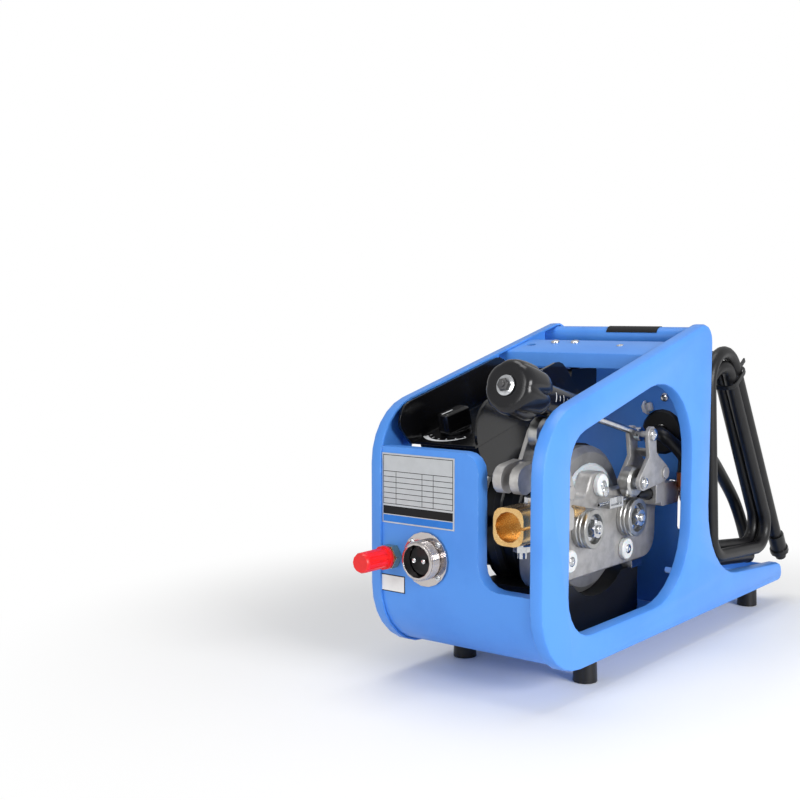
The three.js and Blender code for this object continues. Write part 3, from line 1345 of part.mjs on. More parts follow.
// The hank is one unbroken tube: a ring of points round each place on its line
function cableHank() {
  const line = hankLine().map((p) => new THREE.Vector3(...p));
  return skinned(line.map((place, k) => {
    const ahead = line[Math.min(k + 1, line.length - 1)].clone().sub(line[Math.max(k - 1, 0)]).normalize();
    const across = new THREE.Vector3().crossVectors(Y, ahead).normalize();
    const up = new THREE.Vector3().crossVectors(ahead, across);
    return Array.from({ length: hankSides }, (_, side) => {
      const angle = ((side + 0.5) * 2 * Math.PI) / hankSides;
      return place.clone().addScaledVector(across, cableRadius * Math.cos(angle))
        .addScaledVector(up, cableRadius * Math.sin(angle)).toArray();
    });
  }));
}

// The least clear distance between strands that are not neighbours along the cable
function hankLeastGap() {
  const samples = 400;
  const neighbours = 40;
  const fine = Array.from({ length: samples + 1 }, (_, k) =>
    new THREE.Vector3(...hankPoint((hankTurns * k) / samples)));
  let least = Infinity;
  fine.forEach((p, i) => {
    for (let j = i + neighbours; j < fine.length; j++) {
      least = Math.min(least, p.distanceTo(fine[j]) - 2 * cableRadius);
    }
  });
  return least;
}
console.log(`least gap in the hank: ${hankLeastGap().toFixed(2)} mm`);

const direction = (a, b) => new THREE.Vector3(...b).sub(new THREE.Vector3(...a)).normalize();
const hankAhead = direction(hankPoint(hankTurns - 0.01), hankPoint(hankTurns));
const leave = (place, ahead, reach) => new THREE.Vector3(...place).addScaledVector(ahead, reach).toArray();

const leadRoute = () => {
  const [x, y, z] = hankPoint(0);
  const arrive = direction(hankPoint(0), hankPoint(0.01));
  const end = leave([x, y, z], arrive, -gap);
  return [
    [leadX, cableY, cableZ], [leadX + 14, cableY, cableZ], [110, -38, 199], [160, -38, 172], [200, -38, 141],
    [226, -41, 112], [230, -49, 86], leave(end, arrive, -16), leave(end, arrive, -6), end,
  ];
};
const tailRoute = () => {
  const start = leave(hankPoint(hankTurns), hankAhead, gap);
  return [start, leave(start, hankAhead, 14), leave(start, hankAhead, 28), leave(start, hankAhead, 46)];
};
const cableLead = () => cord(leadRoute(), cableSides, leadSteps);
const cableTail = () => cord(tailRoute(), cableSides, tailSteps);

function cablePlug() {
  const route = tailRoute();
  const start = route[route.length - 1];
  const ahead = direction(route[route.length - 2], start);
  const { radius, length, ring, ringLength, tip, tipLength } = plug;
  return turned([
    [0, gap], [radius, gap], [radius, length - ringLength], [ring, length - ringLength], [ring, length],
    [tip, length], [tip, length + tipLength], [0, length + tipLength],
  ], start, ahead);
}

function hankTie() {
  const { wall, width, tail } = tieBand;
  const inward = hankRadius - hankPitch * (hankTurns / 2);
  const low = inward - cableRadius - 2 * gap;
  const high = hankRadius + cableRadius + 2 * gap;
  const near = hankFarY - hankPitch - cableRadius - 2 * gap;
  const far = hankFarY + cableRadius + 2 * gap;
  const frame = (grow, radius) => rounded([
    [low - grow, near - grow, radius], [high + grow, near - grow, radius], [high + grow, far + grow, radius],
    [low - grow, far + grow, radius],
  ]);
  const ring = prism('z', frame(wall, cableRadius + wall), -width / 2, width / 2, [frame(0, cableRadius)]);
  const tailNear = near + cableRadius;
  const end = block(high + wall / 2, high + tail, tailNear, tailNear + wall, -width / 2, width / 2);
  const { top, tail: tailCentre } = hankCentres;
  const down = new THREE.Vector3(tailCentre[0] - top[0], 0, tailCentre[1] - top[1]).normalize();
  const out = new THREE.Vector3(-down.z, 0, down.x);
  const place = new THREE.Matrix4().makeBasis(out, Y, down);
  place.setPosition(top[0] + down.x * width * 2, 0, top[1] + down.z * width * 2);
  return placed(ring.add(end), place);
}

// The feeder stands with the middle of its length, gas cap included, over the origin
const frontReach = faceX - gas.hexX - sheet - gap - gasCapShape.length;
const feeder = new THREE.Group();
feeder.position.x = -(frontReach + half.length) / 2;
const add = (name, body, finish) => feeder.add(mesh(name, body, finish));

add('near_side_plate', sidePlate(-1), powderBlue());
add('far_side_plate', sidePlate(1), powderBlue());
add('front_floor_sheet', frontFloorSheet(), powderBlue());
add('rear_bulkhead', rearBulkhead(), powderBlue());
add('cross_rail', crossRail(), powderBlue());
add('handle_tube', handleTube(), powderBlue());
['front_near', 'front_far', 'rear_near', 'rear_far'].forEach((where, i) =>
  add(`foot_${where}`, foot(footPlaces()[i]), blackRubber()));

add('feed_casting', feedCasting(), castAluminium());
add('roller_gear_rear', rollerGear(rollerRearX), turnedSteel());
add('roller_gear_front', rollerGear(rollerFrontX), turnedSteel());
add('pinion', pinion(), turnedSteel());
add('drive_roller_rear', driveRoller(rollerRearX), turnedSteel());
add('drive_roller_front', driveRoller(rollerFrontX), turnedSteel());
add('roller_nut_rear', rollerNut(rollerRearX), zincSteel());
add('roller_nut_front', rollerNut(rollerFrontX), zincSteel());
['top', 'right', 'left'].forEach((where, i) =>
  add(`nylon_washer_${where}`, nylonWasher(nylonPlaces[i]), whiteNylon()));
add('gear_cover', gearCoverDisc(), whiteNylon());
add('gear_case', gearCaseBody(), castAluminium());
add('motor', motorBody(), blackPlastic());
add('drive_base', driveBase(), blackPlastic());
add('casting_clip', castingClip(), zincSteel());

add('rear_pressure_arm', rearArm(), castAluminium());
add('idle_roller_rear', idleRoller(rearRoller), turnedSteel());
add('rear_roller_pin', armPin(rearRoller, true), zincSteel());
add('front_pressure_arm', swungOpen(frontArm()), castAluminium());
add('idle_roller_front', swungOpen(idleRoller(frontRollerShut)), turnedSteel());
add('front_roller_pin', swungOpen(armPin(frontRollerShut, true)), zincSteel());
add('pressure_rod', handleRod(), zincSteel());
add('pressure_sleeve', springSleeve(), blackPlastic());
add('pressure_spring', pressureSpring(), turnedSteel());
add('pressure_knob', pressureKnob(), blackPlastic());
add('knob_bolt', knobNut(), zincSteel());

add('inlet_guide', inletGuide(), blackPlastic());
add('middle_guide', middleWireGuide(), zincSteel());
add('outlet_guide', outletGuide(), brass());
add('torch_block', torchBlock(), brass());
add('torch_clamp_bolt', torchClampBolt(), zincSteel());
add('torch_cable_stud', torchCableStud(), zincSteel());

add('control_hood', controlHood(), blackPlastic());
add('current_knob', currentKnob(), blackPlastic());
add('potentiometer', potentiometer(), zincSteel());
add('gas_fitting', gasFitting(), brass());
add('gas_cap', gasCap(), redPlastic());
add('gas_line', gasLine(), blackRubber());
add('control_socket', socketShell(), zincSteel());
add('socket_insert', socketInsert(), blackPlastic());

add('cable_grommet', rubberGrommet(), blackRubber());
add('inner_cable', innerCable(), blackRubber());
add('cable_lug', cableLug(), copper());
add('cable_lead', cableLead(), blackRubber());
add('cable_hank', cableHank(), blackRubber());
add('cable_tail', cableTail(), blackRubber());
add('cable_plug', cablePlug(), blackPlastic());
add('hank_tie', hankTie(), blackPlastic());

export default feeder;
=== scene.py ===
# %% [markdown]
# # A wire feeder, dressed in Blender
# The feeder is a folded steel carrying frame round a four-roller wire drive. Its exact solids come packed
# from CAD, so this lesson starts by loading them as a fixed frame. Everything added here rides on one of
# their bodies, in the same metres and the same axes, and nothing of the CAD is moved.

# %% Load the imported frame
import json
import math

import bmesh
import bpy
from mathutils import Matrix, Vector

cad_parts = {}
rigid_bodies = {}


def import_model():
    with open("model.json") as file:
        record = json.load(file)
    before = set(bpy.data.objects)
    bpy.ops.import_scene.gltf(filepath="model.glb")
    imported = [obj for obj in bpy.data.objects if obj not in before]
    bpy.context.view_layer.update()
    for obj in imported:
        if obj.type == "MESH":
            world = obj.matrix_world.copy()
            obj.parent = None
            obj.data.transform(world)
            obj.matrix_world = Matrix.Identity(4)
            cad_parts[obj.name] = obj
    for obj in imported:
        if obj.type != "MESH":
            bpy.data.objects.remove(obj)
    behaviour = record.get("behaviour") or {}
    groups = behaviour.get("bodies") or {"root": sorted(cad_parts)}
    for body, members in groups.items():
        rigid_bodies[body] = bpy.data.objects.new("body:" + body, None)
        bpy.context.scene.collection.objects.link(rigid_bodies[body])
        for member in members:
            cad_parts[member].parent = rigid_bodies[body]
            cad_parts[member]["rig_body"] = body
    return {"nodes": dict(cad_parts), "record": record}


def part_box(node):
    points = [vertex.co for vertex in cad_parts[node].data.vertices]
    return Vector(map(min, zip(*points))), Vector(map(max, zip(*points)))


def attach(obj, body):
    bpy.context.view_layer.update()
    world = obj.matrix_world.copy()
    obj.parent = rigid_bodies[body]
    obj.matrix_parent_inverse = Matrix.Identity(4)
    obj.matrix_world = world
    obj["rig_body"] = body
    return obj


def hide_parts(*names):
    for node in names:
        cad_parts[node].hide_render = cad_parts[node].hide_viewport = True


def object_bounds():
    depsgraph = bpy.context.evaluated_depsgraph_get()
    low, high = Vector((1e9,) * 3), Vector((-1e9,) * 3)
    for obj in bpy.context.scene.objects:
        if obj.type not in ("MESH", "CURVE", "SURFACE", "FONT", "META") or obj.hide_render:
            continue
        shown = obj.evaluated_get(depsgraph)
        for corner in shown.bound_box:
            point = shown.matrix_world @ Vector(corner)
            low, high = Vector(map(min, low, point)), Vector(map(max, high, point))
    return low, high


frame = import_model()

nodes = frame["nodes"]
scene = bpy.context.scene
cad_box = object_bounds()
print("CAD box", [round(v, 4) for corner in cad_box for v in corner])

# %% [markdown]
# The part's source was drawn in millimetres about the middle of the frame, and then set with the middle of
# its whole length over the origin. One helper turns such a place into metres of the shared frame, so that a
# screw or a label can be placed with the same numbers that the source uses.

# %% Places in millimetres
MM = 0.001
SHIFT = 20.15
SLOPE = math.radians(15)


def at(x, y, z):
    return Vector(((x + SHIFT) * MM, y * MM, z * MM))


print("origin of the source lies at", [round(v, 5) for v in at(0, 0, 0)])

# %% [markdown]
# Blender keeps a shape's data apart from the object that shows it, and an object is only seen once a
# collection holds it. One helper does both steps.

# %% A new object in the scene
def linked(name, data):
    piece = bpy.data.objects.new(name, data)
    scene.collection.objects.link(piece)
    return piece


def baked(piece, name):
    """The mesh that an object's bevel or modifiers make of it."""
    graph = bpy.context.evaluated_depsgraph_get()
    mesh = bpy.data.meshes.new_from_object(piece.evaluated_get(graph))
    mesh.name = name
    return mesh


print("the scene starts with", len(nodes), "solids")

# %% [markdown]
# ## Camera
# The photograph looks at the feeder from its torch end, a little from the drive side and from just above.
# A long lens keeps the frame's edges nearly parallel. The principal point of the picture isn't its middle,
# because the feeder stands right and below of it, so the camera is shifted instead of turned.

# %% Camera
SENSOR = 36.0
FOCAL_PX = 1189.2
FRAME_PX = 800
CENTRE_PX = (480, 440)
camera = linked("camera", bpy.data.cameras.new("camera"))
camera.data.sensor_width = SENSOR
camera.data.lens = FOCAL_PX * SENSOR / FRAME_PX
camera.data.shift_x = (FRAME_PX / 2 - CENTRE_PX[0]) / FRAME_PX
camera.data.shift_y = (CENTRE_PX[1] - FRAME_PX / 2) / FRAME_PX
camera.data.clip_start, camera.data.clip_end = 0.01, 50
right = Vector((0.5849, -0.8111, 0.0053)).normalized()
back = Vector((-0.8073, -0.5815, 0.1008))
back = (back - back.dot(right) * right).normalized()
up = back.cross(right)
camera.matrix_world = Matrix.Translation(at(-1030.7, -588.8, 317.0)) @ Matrix(
    (right, up, back)
).transposed().to_4x4()
scene.camera = camera
scene.view_settings.view_transform = "Standard"
print("lens", round(camera.data.lens, 2), "mm, shift", camera.data.shift_x, camera.data.shift_y)

# %% [markdown]
# ## The supply cable
# The cable leaves the grommet of the rear bulkhead, drops behind the tail and is laid up in a hank that
# hangs on it, held by one tie. It is one tube, so it is one line here: the free lead, the turns of the hank
# and the short end with its plug. A curve with a round bevel keeps the same thickness in every bend. It is
# turned into a mesh at once, so that its box is measured as every other piece's is.

# %% Points of the supply cable
CABLE_RADIUS = 6.8
HANK = {"top": (96, 252), "tail": (197, 93), "foot": (108, 101)}
HANK_RADIUS, HANK_TURNS, HANK_START, HANK_FAR_Y, HANK_PITCH = 36, 2.79, 0.75, -66.4, 14.4
CLIMB_TURNS = 0.25
STEPS_PER_TURN = 24
GAP = 0.3


def hank_spans():
    top, tail, foot = HANK["top"], HANK["tail"], HANK["foot"]
    slant = math.atan2(tail[0] - top[0], top[1] - tail[1])
    under = -math.pi / 2 - math.atan2(foot[1] - tail[1], tail[0] - foot[0])
    left = math.pi + math.atan2(top[0] - foot[0], top[1] - foot[1])
    return [
        (3, foot, top, left, left),
        (7, top, top, left, slant),
        (3, top, tail, slant, slant),
        (5, tail, tail, slant, under),
        (3, tail, foot, under, under),
        (3, foot, foot, under, left - 2 * math.pi),
    ]


def smoothstep(value, low, high):
    t = min(max((value - low) / (high - low), 0), 1)
    return t * t * (3 - 2 * t)


def hank_point(turn):
    spans = hank_spans()
    step = (turn + HANK_START) % 1 * STEPS_PER_TURN
    i = 0
    while i < len(spans) - 1 and step > spans[i][0]:
        step -= spans[i][0]
        i += 1
    steps, start, end, first, last = spans[i]
    share = step / steps
    angle = first + (last - first) * share
    out = HANK_RADIUS - HANK_PITCH * min(turn, HANK_TURNS - turn)
    climb = smoothstep(turn, HANK_TURNS / 2 - CLIMB_TURNS, HANK_TURNS / 2 + CLIMB_TURNS)
    return Vector(
        (
            start[0] + (end[0] - start[0]) * share + out * math.cos(angle),
            HANK_FAR_Y - HANK_PITCH * climb,
            start[1] + (end[1] - start[1]) * share + out * math.sin(angle),
        )
    )


print("hank starts at", [round(v, 1) for v in hank_point(0)])


# %% A smooth line through chosen points
def spline(points, steps=6):
    """A centripetal Catmull-Rom line, which passes through every point without loops."""
    pts = [Vector(p) for p in points]
    pts = [2 * pts[0] - pts[1], *pts, 2 * pts[-1] - pts[-2]]
    line = []
    for a, b, c, d in zip(pts, pts[1:], pts[2:], pts[3:]):
        k1 = (b - a).length ** 0.5
        k2 = k1 + (c - b).length ** 0.5
        k3 = k2 + (d - c).length ** 0.5
        for n in range(steps):
            t = k1 + (k2 - k1) * n / steps
            p = a.lerp(b, t / k1)
            q = b.lerp(c, (t - k1) / (k2 - k1))
            r = c.lerp(d, (t - k2) / (k3 - k2))
            line.append(p.lerp(q, t / k2).lerp(q.lerp(r, (t - k1) / (k3 - k1)), (t - k1) / (k2 - k1)))
    return [*line, pts[-2]]


def length_of(line):
    return sum((b - a).length for a, b in zip(line, line[1:]))


print("a test line is", round(length_of(spline([(0, 0, 0), (10, 0, 0), (20, 5, 0)])), 2), "mm long")

# %% The cable as one curve
BULKHEAD_FRONT, BULKHEAD_BACK, LIP = 49.7, 51.7, 2.5
LEAD_X = BULKHEAD_BACK + GAP + LIP + GAP
FINE_STEPS = 72
TAIL_REACHES = (0, 14, 28, 46)


def leave(place, ahead, reach):
    return Vector(place) + Vector(ahead) * reach


hank_steps = round(HANK_TURNS * FINE_STEPS)
hank_line = [hank_point(HANK_TURNS * k / hank_steps) for k in range(hank_steps + 1)]
arrive = (hank_point(0.01) - hank_point(0)).normalized()
depart = (hank_point(HANK_TURNS) - hank_point(HANK_TURNS - 0.01)).normalized()
lead_end = leave(hank_line[0], arrive, -GAP)
lead = spline(
    [
        (LEAD_X, -38, 205), (LEAD_X + 14, -38, 205), (110, -38, 199), (160, -38, 172), (200, -38, 141),
        (226, -41, 112), (230, -49, 86), leave(lead_end, arrive, -16), leave(lead_end, arrive, -6), lead_end,
    ]
)
tail = [leave(hank_line[-1], depart, reach + GAP) for reach in TAIL_REACHES]
cable_line = [at(*p) for p in [*lead[:-1], *hank_line, *tail]]


def tube(name, line, radius, resolution=5):
    """A round tube along a line, swept as a curve and kept as a mesh."""
    data = bpy.data.curves.new(name + "_line", "CURVE")
    data.dimensions = "3D"
    data.bevel_depth = radius
    data.bevel_resolution = resolution
    data.use_fill_caps = True
    data.twist_mode = "MINIMUM"
    path = data.splines.new("POLY")
    path.points.add(len(line) - 1)
    for point, place in zip(path.points, line):
        point.co = (*place, 1)
    path.use_smooth = True
    swept = linked(name + "_line", data)
    mesh = baked(swept, name)
    bpy.data.objects.remove(swept)
    bpy.data.curves.remove(data)
    return linked(name, mesh)


supply_cable = tube("supply_cable", cable_line, CABLE_RADIUS * MM)
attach(supply_cable, "frame")
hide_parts("cable_lead", "cable_hank", "cable_tail")

# %% [markdown]
# The inner piece is the short tail between the copper lug and the grommet, and it is a fixed lead, so it
# only rides on the frame. Its end stops 0.3 mm short of the outer cable.

INNER_X, LUG_Y, LUG_TOP = BULKHEAD_FRONT - LIP - 2 * GAP - CABLE_RADIUS, -68, 167.0
inner_line = spline(
    [
        (INNER_X, LUG_Y, LUG_TOP + GAP), (INNER_X, LUG_Y, LUG_TOP + 14), (36, -62, 191), (32, -50, 202),
        (42, -38, 205), (50, -38, 205), (LEAD_X - GAP, -38, 205),
    ]
)
inner_cable = tube("motor_cable", [at(*p) for p in inner_line], CABLE_RADIUS * MM)
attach(inner_cable, "frame")
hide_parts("inner_cable")

# %% [markdown]
# ## Effects shared by the finishes
# A finish looks real when its colour, gloss and surface change a little from place to place. Each such effect
# is built once as a node group with named sockets, and every material then uses it with its own values. The
# groups read object coordinates, which are the frame's own metres, so a grain keeps its real size on every
# piece and rides with it in every pose.

# %% Helpers for materials and groups
def fresh(name, **values):
    """A new material, its node tree, and its Principled shader with plain values on its own sockets."""
    material = bpy.data.materials.new(name)
    material.use_nodes = True
    tree = material.node_tree
    shader = tree.nodes["Principled BSDF"]
    for socket, value in values.items():
        shader.inputs[socket.replace("_", " ")].default_value = value
    return material, tree, shader


def add(tree, kind, values=None, **settings):
    """One node with its settings, and then its values, keyed by the socket's name or number."""
    node = tree.nodes.new("ShaderNode" + kind)
    for setting, value in settings.items():
        setattr(node, setting, value)
    for socket, value in (values or {}).items():
        node.inputs[socket].default_value = value
    return node


def wire(tree, *links):
    """Links, each written as node, its output, next node, its input."""
    for source, output, target, socket in links:
        tree.links.new(source.outputs[output], target.inputs[socket])


def srgb(r, g, b):
    """A colour as a picture editor shows it, 0 to 255, as the linear colour that a shader takes."""
    return tuple(((c / 255 + 0.055) / 1.055) ** 2.4 if c > 10 else c / 255 / 12.92 for c in (r, g, b)) + (1,)


def new_group(name, inputs, outputs):
    tree = bpy.data.node_groups.new(name, "ShaderNodeTree")
    for label, kind, value in inputs:
        socket = tree.interface.new_socket(label, in_out="INPUT", socket_type=kind)
        socket.default_value = value
    for label, kind in outputs:
        tree.interface.new_socket(label, in_out="OUTPUT", socket_type=kind)
    return tree, tree.nodes.new("NodeGroupInput"), tree.nodes.new("NodeGroupOutput")


FLOAT, COLOUR, VECTOR = "NodeSocketFloat", "NodeSocketColor", "NodeSocketVector"


def use(tree, group, **values):
    return add(tree, "Group", values, node_tree=group)


print("blue of the paint is", [round(v, 3) for v in srgb(84, 150, 232)])


# %% [markdown]
# Tone variation mixes a second colour into the first with soft noise of a chosen size. On paint it is the
# faint unevenness of a sprayed coat, and on castings the darker patches that handling leaves.

# %% Tone group
def tone_group():
    tree, ins, outs = new_group(
        "tone",
        [("Colour", COLOUR, (1, 1, 1, 1)), ("Second", COLOUR, (0, 0, 0, 1)), ("Size", FLOAT, 0.02),
         ("Share", FLOAT, 0.3)],
        [("Colour", COLOUR), ("Mask", FLOAT)],
    )
    coords = add(tree, "TexCoord")
    scale = add(tree, "Math", {0: 1}, operation="DIVIDE")
    noise = add(tree, "TexNoise", {"Detail": 5, "Roughness": 0.6})
    spread = add(tree, "MapRange", {"From Min": 0.38, "From Max": 0.68}, interpolation_type="SMOOTHSTEP")
    amount = add(tree, "Math", operation="MULTIPLY")
    mix = add(tree, "Mix", data_type="RGBA")
    wire(
        tree, (ins, "Size", scale, 1), (coords, "Object", noise, "Vector"), (scale, 0, noise, "Scale"),
        (noise, "Fac", spread, "Value"), (spread, "Result", amount, 0), (ins, "Share", amount, 1),
        (amount, 0, mix, "Factor"), (ins, "Colour", mix, "A"), (ins, "Second", mix, "B"),
        (mix, "Result", outs, "Colour"), (spread, "Result", outs, "Mask"),
    )
    return tree


TONE = tone_group()
print("tone group has", len(TONE.nodes), "nodes")


# %% [markdown]
# Grain is the height of a fine surface texture: orange peel on powder coat, sand marks on a casting, the
# spark-eroded texture of moulded plastic. It puts out a height from 0 to 1 and a value for the
# roughness, so that the same marks also change the gloss.

# %% Grain group
def grain_group():
    tree, ins, outs = new_group(
        "grain",
        [("Size", FLOAT, 0.001), ("Roughness", FLOAT, 0.5), ("Change", FLOAT, 0.1)],
        [("Height", FLOAT), ("Roughness", FLOAT)],
    )
    coords = add(tree, "TexCoord")
    scale = add(tree, "Math", {0: 1}, operation="DIVIDE")
    noise = add(tree, "TexNoise", {"Detail": 3})
    centred = add(tree, "Math", {1: 0.5}, operation="SUBTRACT")
    change = add(tree, "Math", operation="MULTIPLY_ADD")
    wire(
        tree, (ins, "Size", scale, 1), (coords, "Object", noise, "Vector"), (scale, 0, noise, "Scale"),
        (noise, "Fac", centred, 0), (centred, 0, change, 0), (ins, "Change", change, 1),
        (ins, "Roughness", change, 2), (noise, "Fac", outs, "Height"), (change, 0, outs, "Roughness"),
    )
    return tree


GRAIN = grain_group()
print("grain group has", len(GRAIN.nodes), "nodes")


# %% [markdown]
# Edges of a real piece are never perfectly sharp, and they wear first. A Bevel node looks at the surface
# within a small distance and gives a rounded normal there. Where that normal differs from the real one, there
# is an edge, and the same group turns this into a mask broken up by noise. The mask marks worn edges, and on
# the blue paint it lays a painted highlight along the folds.

# %% Edge group
def edge_group():
    tree, ins, outs = new_group(
        "edge", [("Radius", FLOAT, 0.0006), ("Wear", FLOAT, 0.5)], [("Normal", VECTOR), ("Mask", FLOAT)]
    )
    bevel = add(tree, "Bevel", samples=4)
    surface = add(tree, "NewGeometry")
    dot = add(tree, "VectorMath", operation="DOT_PRODUCT")
    edge = add(tree, "MapRange", {"From Min": 0.96, "From Max": 0.80})
    coords = add(tree, "TexCoord")
    noise = add(tree, "TexNoise", {"Scale": 160, "Detail": 6})
    patchy = add(tree, "MapRange", {"From Min": 0.52, "From Max": 0.66})
    both = add(tree, "Math", operation="MULTIPLY")
    amount = add(tree, "Math", operation="MULTIPLY")
    wire(
        tree, (ins, "Radius", bevel, "Radius"), (bevel, "Normal", dot, 0), (surface, "Normal", dot, 1),
        (dot, "Value", edge, "Value"), (coords, "Object", noise, "Vector"), (noise, "Fac", patchy, "Value"),
        (edge, "Result", both, 0), (patchy, "Result", both, 1), (both, 0, amount, 0),
        (ins, "Wear", amount, 1), (bevel, "Normal", outs, "Normal"), (amount, 0, outs, "Mask"),
    )
    return tree


EDGE = edge_group()
print("edge group has", len(EDGE.nodes), "nodes")


# %% [markdown]
# A lathe leaves fine rings about its axis. The distance from that axis and the distance along it are added,
# so that faces and rims both show rings, and a one-dimensional noise of the sum makes their depth uneven.

# %% Ring group
def ring_group():
    tree, ins, outs = new_group(
        "turning_rings",
        [("Centre", VECTOR, (0, 0, 0)), ("Along", VECTOR, (0, 1, 0)), ("Pitch", FLOAT, 0.0004)],
        [("Height", FLOAT)],
    )
    coords = add(tree, "TexCoord")
    offset = add(tree, "VectorMath", operation="SUBTRACT")
    project = add(tree, "VectorMath", operation="PROJECT")
    radial = add(tree, "VectorMath", operation="SUBTRACT")
    size = add(tree, "VectorMath", operation="LENGTH")
    depth = add(tree, "VectorMath", operation="LENGTH")
    total = add(tree, "Math", operation="ADD")
    rate = add(tree, "Math", operation="DIVIDE")
    noise = add(tree, "TexNoise", noise_dimensions="1D")
    noise.inputs["Scale"].default_value = 1
    noise.inputs["Detail"].default_value = 3
    wire(
        tree, (coords, "Object", offset, 0), (ins, "Centre", offset, 1), (offset, 0, project, 0),
        (ins, "Along", project, 1), (offset, 0, radial, 0), (project, 0, radial, 1), (radial, 0, size, 0),
        (project, 0, depth, 0), (size, "Value", total, 0), (depth, "Value", total, 1), (total, 0, rate, 0),
        (ins, "Pitch", rate, 1), (rate, 0, noise, "W"), (noise, "Fac", outs, "Height"),
    )
    return tree


RINGS = ring_group()
print("ring group has", len(RINGS.nodes), "nodes")


# %% [markdown]
# ## One finish from these effects
# Nearly every surface here is a base colour with uneven tone, a grain, softened edges that may show a
# different colour, which is wear on most finishes and a painted highlight on the blue paint, and sometimes
# lathe rings. One function wires them up, and each real finish is then a few values. Numbers that are the
# same all over the surface go straight to the shader.

# %% Finish maker
def finish(name, colour, second, tone_size, tone_share, grain, rough, change, depth, edge=0.0006, edge_wear_and_highlight_share=0.0,
           edge_wear_and_highlight=None, rings=None, ring_depth=0.00002, **shader_values):
    material, tree, shader = fresh(name, **shader_values)
    tone = use(tree, TONE, Colour=colour, Second=second, Size=tone_size, Share=tone_share)
    texture = use(tree, GRAIN, Size=grain, Roughness=rough, Change=change)
    edges = use(tree, EDGE, Radius=edge, Wear=edge_wear_and_highlight_share)
    last = bump = add(tree, "Bump", {"Strength": 1, "Distance": depth})
    wire(tree, (texture, "Height", bump, "Height"), (edges, "Normal", bump, "Normal"))
    if rings:
        turned = use(tree, RINGS, Centre=rings[0], Along=rings[1], Pitch=rings[2])
        last = add(tree, "Bump", {"Distance": ring_depth})
        wire(tree, (turned, "Height", last, "Height"), (bump, "Normal", last, "Normal"))
    base = (tone, "Colour")
    # The edge colour is real wear on most finishes and a painted highlight on the blue paint.
    if edge_wear_and_highlight:
        mix = add(tree, "Mix", {"B": edge_wear_and_highlight}, data_type="RGBA")
        wire(tree, (edges, "Mask", mix, "Factor"), (tone, "Colour", mix, "A"))
        base = (mix, "Result")
    wire(tree, (*base, shader, "Base Color"), (texture, "Roughness", shader, "Roughness"),
         (last, "Normal", shader, "Normal"))
    return material


print("finish maker ready")

# %% [markdown]
# The sheet metal is powder coated in a clear mid blue. Powder flows out in the oven to a fine orange peel
# with a soft gloss, so the paint gets a shallow grain about 1.5 mm wide and a thin clear layer, and the
# folded edges get a painted highlight of slightly lighter blue.

# %% Powder coat
blue_paint = finish(
    "blue_paint", srgb(76, 143, 228), srgb(66, 131, 218), 0.06, 0.5, 0.0016, 0.42, 0.10, 0.00007,
    # The lighter blue given for the edges is a painted highlight on the folds, not wear.
    edge=0.0012, edge_wear_and_highlight_share=0.65, edge_wear_and_highlight=srgb(142, 192, 248), Coat_Weight=0.1, Coat_Roughness=0.25, IOR=1.45,
)
print("paint nodes", len(blue_paint.node_tree.nodes))

# %% [markdown]
# The drive plate, the gear case and the two pressure arms are raw aluminium castings: light grey metal with a
# sandy skin, a little duller in the hollows, and brighter where edges have been rubbed.

# %% Cast aluminium
cast_aluminium = finish(
    "cast_aluminium", srgb(186, 184, 182), srgb(142, 140, 138), 0.014, 0.5, 0.0008, 0.44, 0.22, 0.00022,
    edge=0.0012, edge_wear_and_highlight_share=0.8, edge_wear_and_highlight=srgb(226, 227, 228), Metallic=0.72,
)
print("casting nodes", len(cast_aluminium.node_tree.nodes))

# %% [markdown]
# Bright zinc plating covers the screws, pins, nuts and the socket: a cool silver with faint cloudy patches.
# The turned rollers are plain steel, with the lathe's rings running round each roller's own axis, so that
# finish is made once for each roller from its centre.

# %% Zinc plate and turned steel
zinc_steel = finish(
    "zinc_steel", srgb(206, 208, 211), srgb(158, 160, 162), 0.004, 0.35, 0.0006, 0.18, 0.12, 0.00001,
    edge=0.0004, edge_wear_and_highlight_share=0.3, edge_wear_and_highlight=srgb(235, 236, 238), Metallic=1.0,
)


def turned_steel(name, x, z, tint=(176, 176, 174)):
    return finish(
        name, srgb(*tint), srgb(138, 137, 133), 0.006, 0.35, 0.0008, 0.30, 0.14, 0.00001,
        edge=0.0003, edge_wear_and_highlight_share=0.4, edge_wear_and_highlight=srgb(226, 226, 224),
        rings=(at(x, 0, z), (0, 1, 0), 0.0005), ring_depth=0.00006, Metallic=1.0,
    )


ROLLERS = {
    "drive_roller_rear": (-32, 130), "roller_gear_rear": (-32, 130), "drive_roller_front": (-113, 130),
    "roller_gear_front": (-113, 130), "idle_roller_rear": (-38.1, 164.7), "idle_roller_front": (-113, 165.2),
    "pinion": (-72.5, 130),
}
steel_of = {name: turned_steel("turned_" + name, x, z) for name, (x, z) in ROLLERS.items()}
spring_steel = turned_steel("spring_steel", -21.8, 208.9, (150, 150, 150))
print("steel finishes", len(steel_of) + 1)

# %% [markdown]
# The torch block is a drawn brass bar, the gas fitting a turned one, and the lug is bare copper that has
# browned. Brass tarnishes in soft patches, so its second colour is a browner gold.

# %% Brass and copper
brass = finish(
    "brass", srgb(226, 188, 128), srgb(196, 148, 88), 0.010, 0.5, 0.0007, 0.26, 0.16, 0.00003,
    edge=0.0006, edge_wear_and_highlight_share=0.6, edge_wear_and_highlight=srgb(250, 224, 170), Metallic=1.0,
)
copper = finish(
    "copper", srgb(196, 116, 78), srgb(120, 66, 44), 0.006, 0.6, 0.0006, 0.34, 0.2, 0.00003,
    edge=0.0005, edge_wear_and_highlight_share=0.5, edge_wear_and_highlight=srgb(232, 160, 120), Metallic=1.0,
)
print("brass and copper ready")

# %% [markdown]
# The plastics differ in gloss. The hood is moulded with a smooth satin skin, the housings are finer and
# duller, the knobs are nearly black and glossy, the washers and the disc behind the drive are milky nylon,
# which lets a little light in, and the gas cap is a soft red.

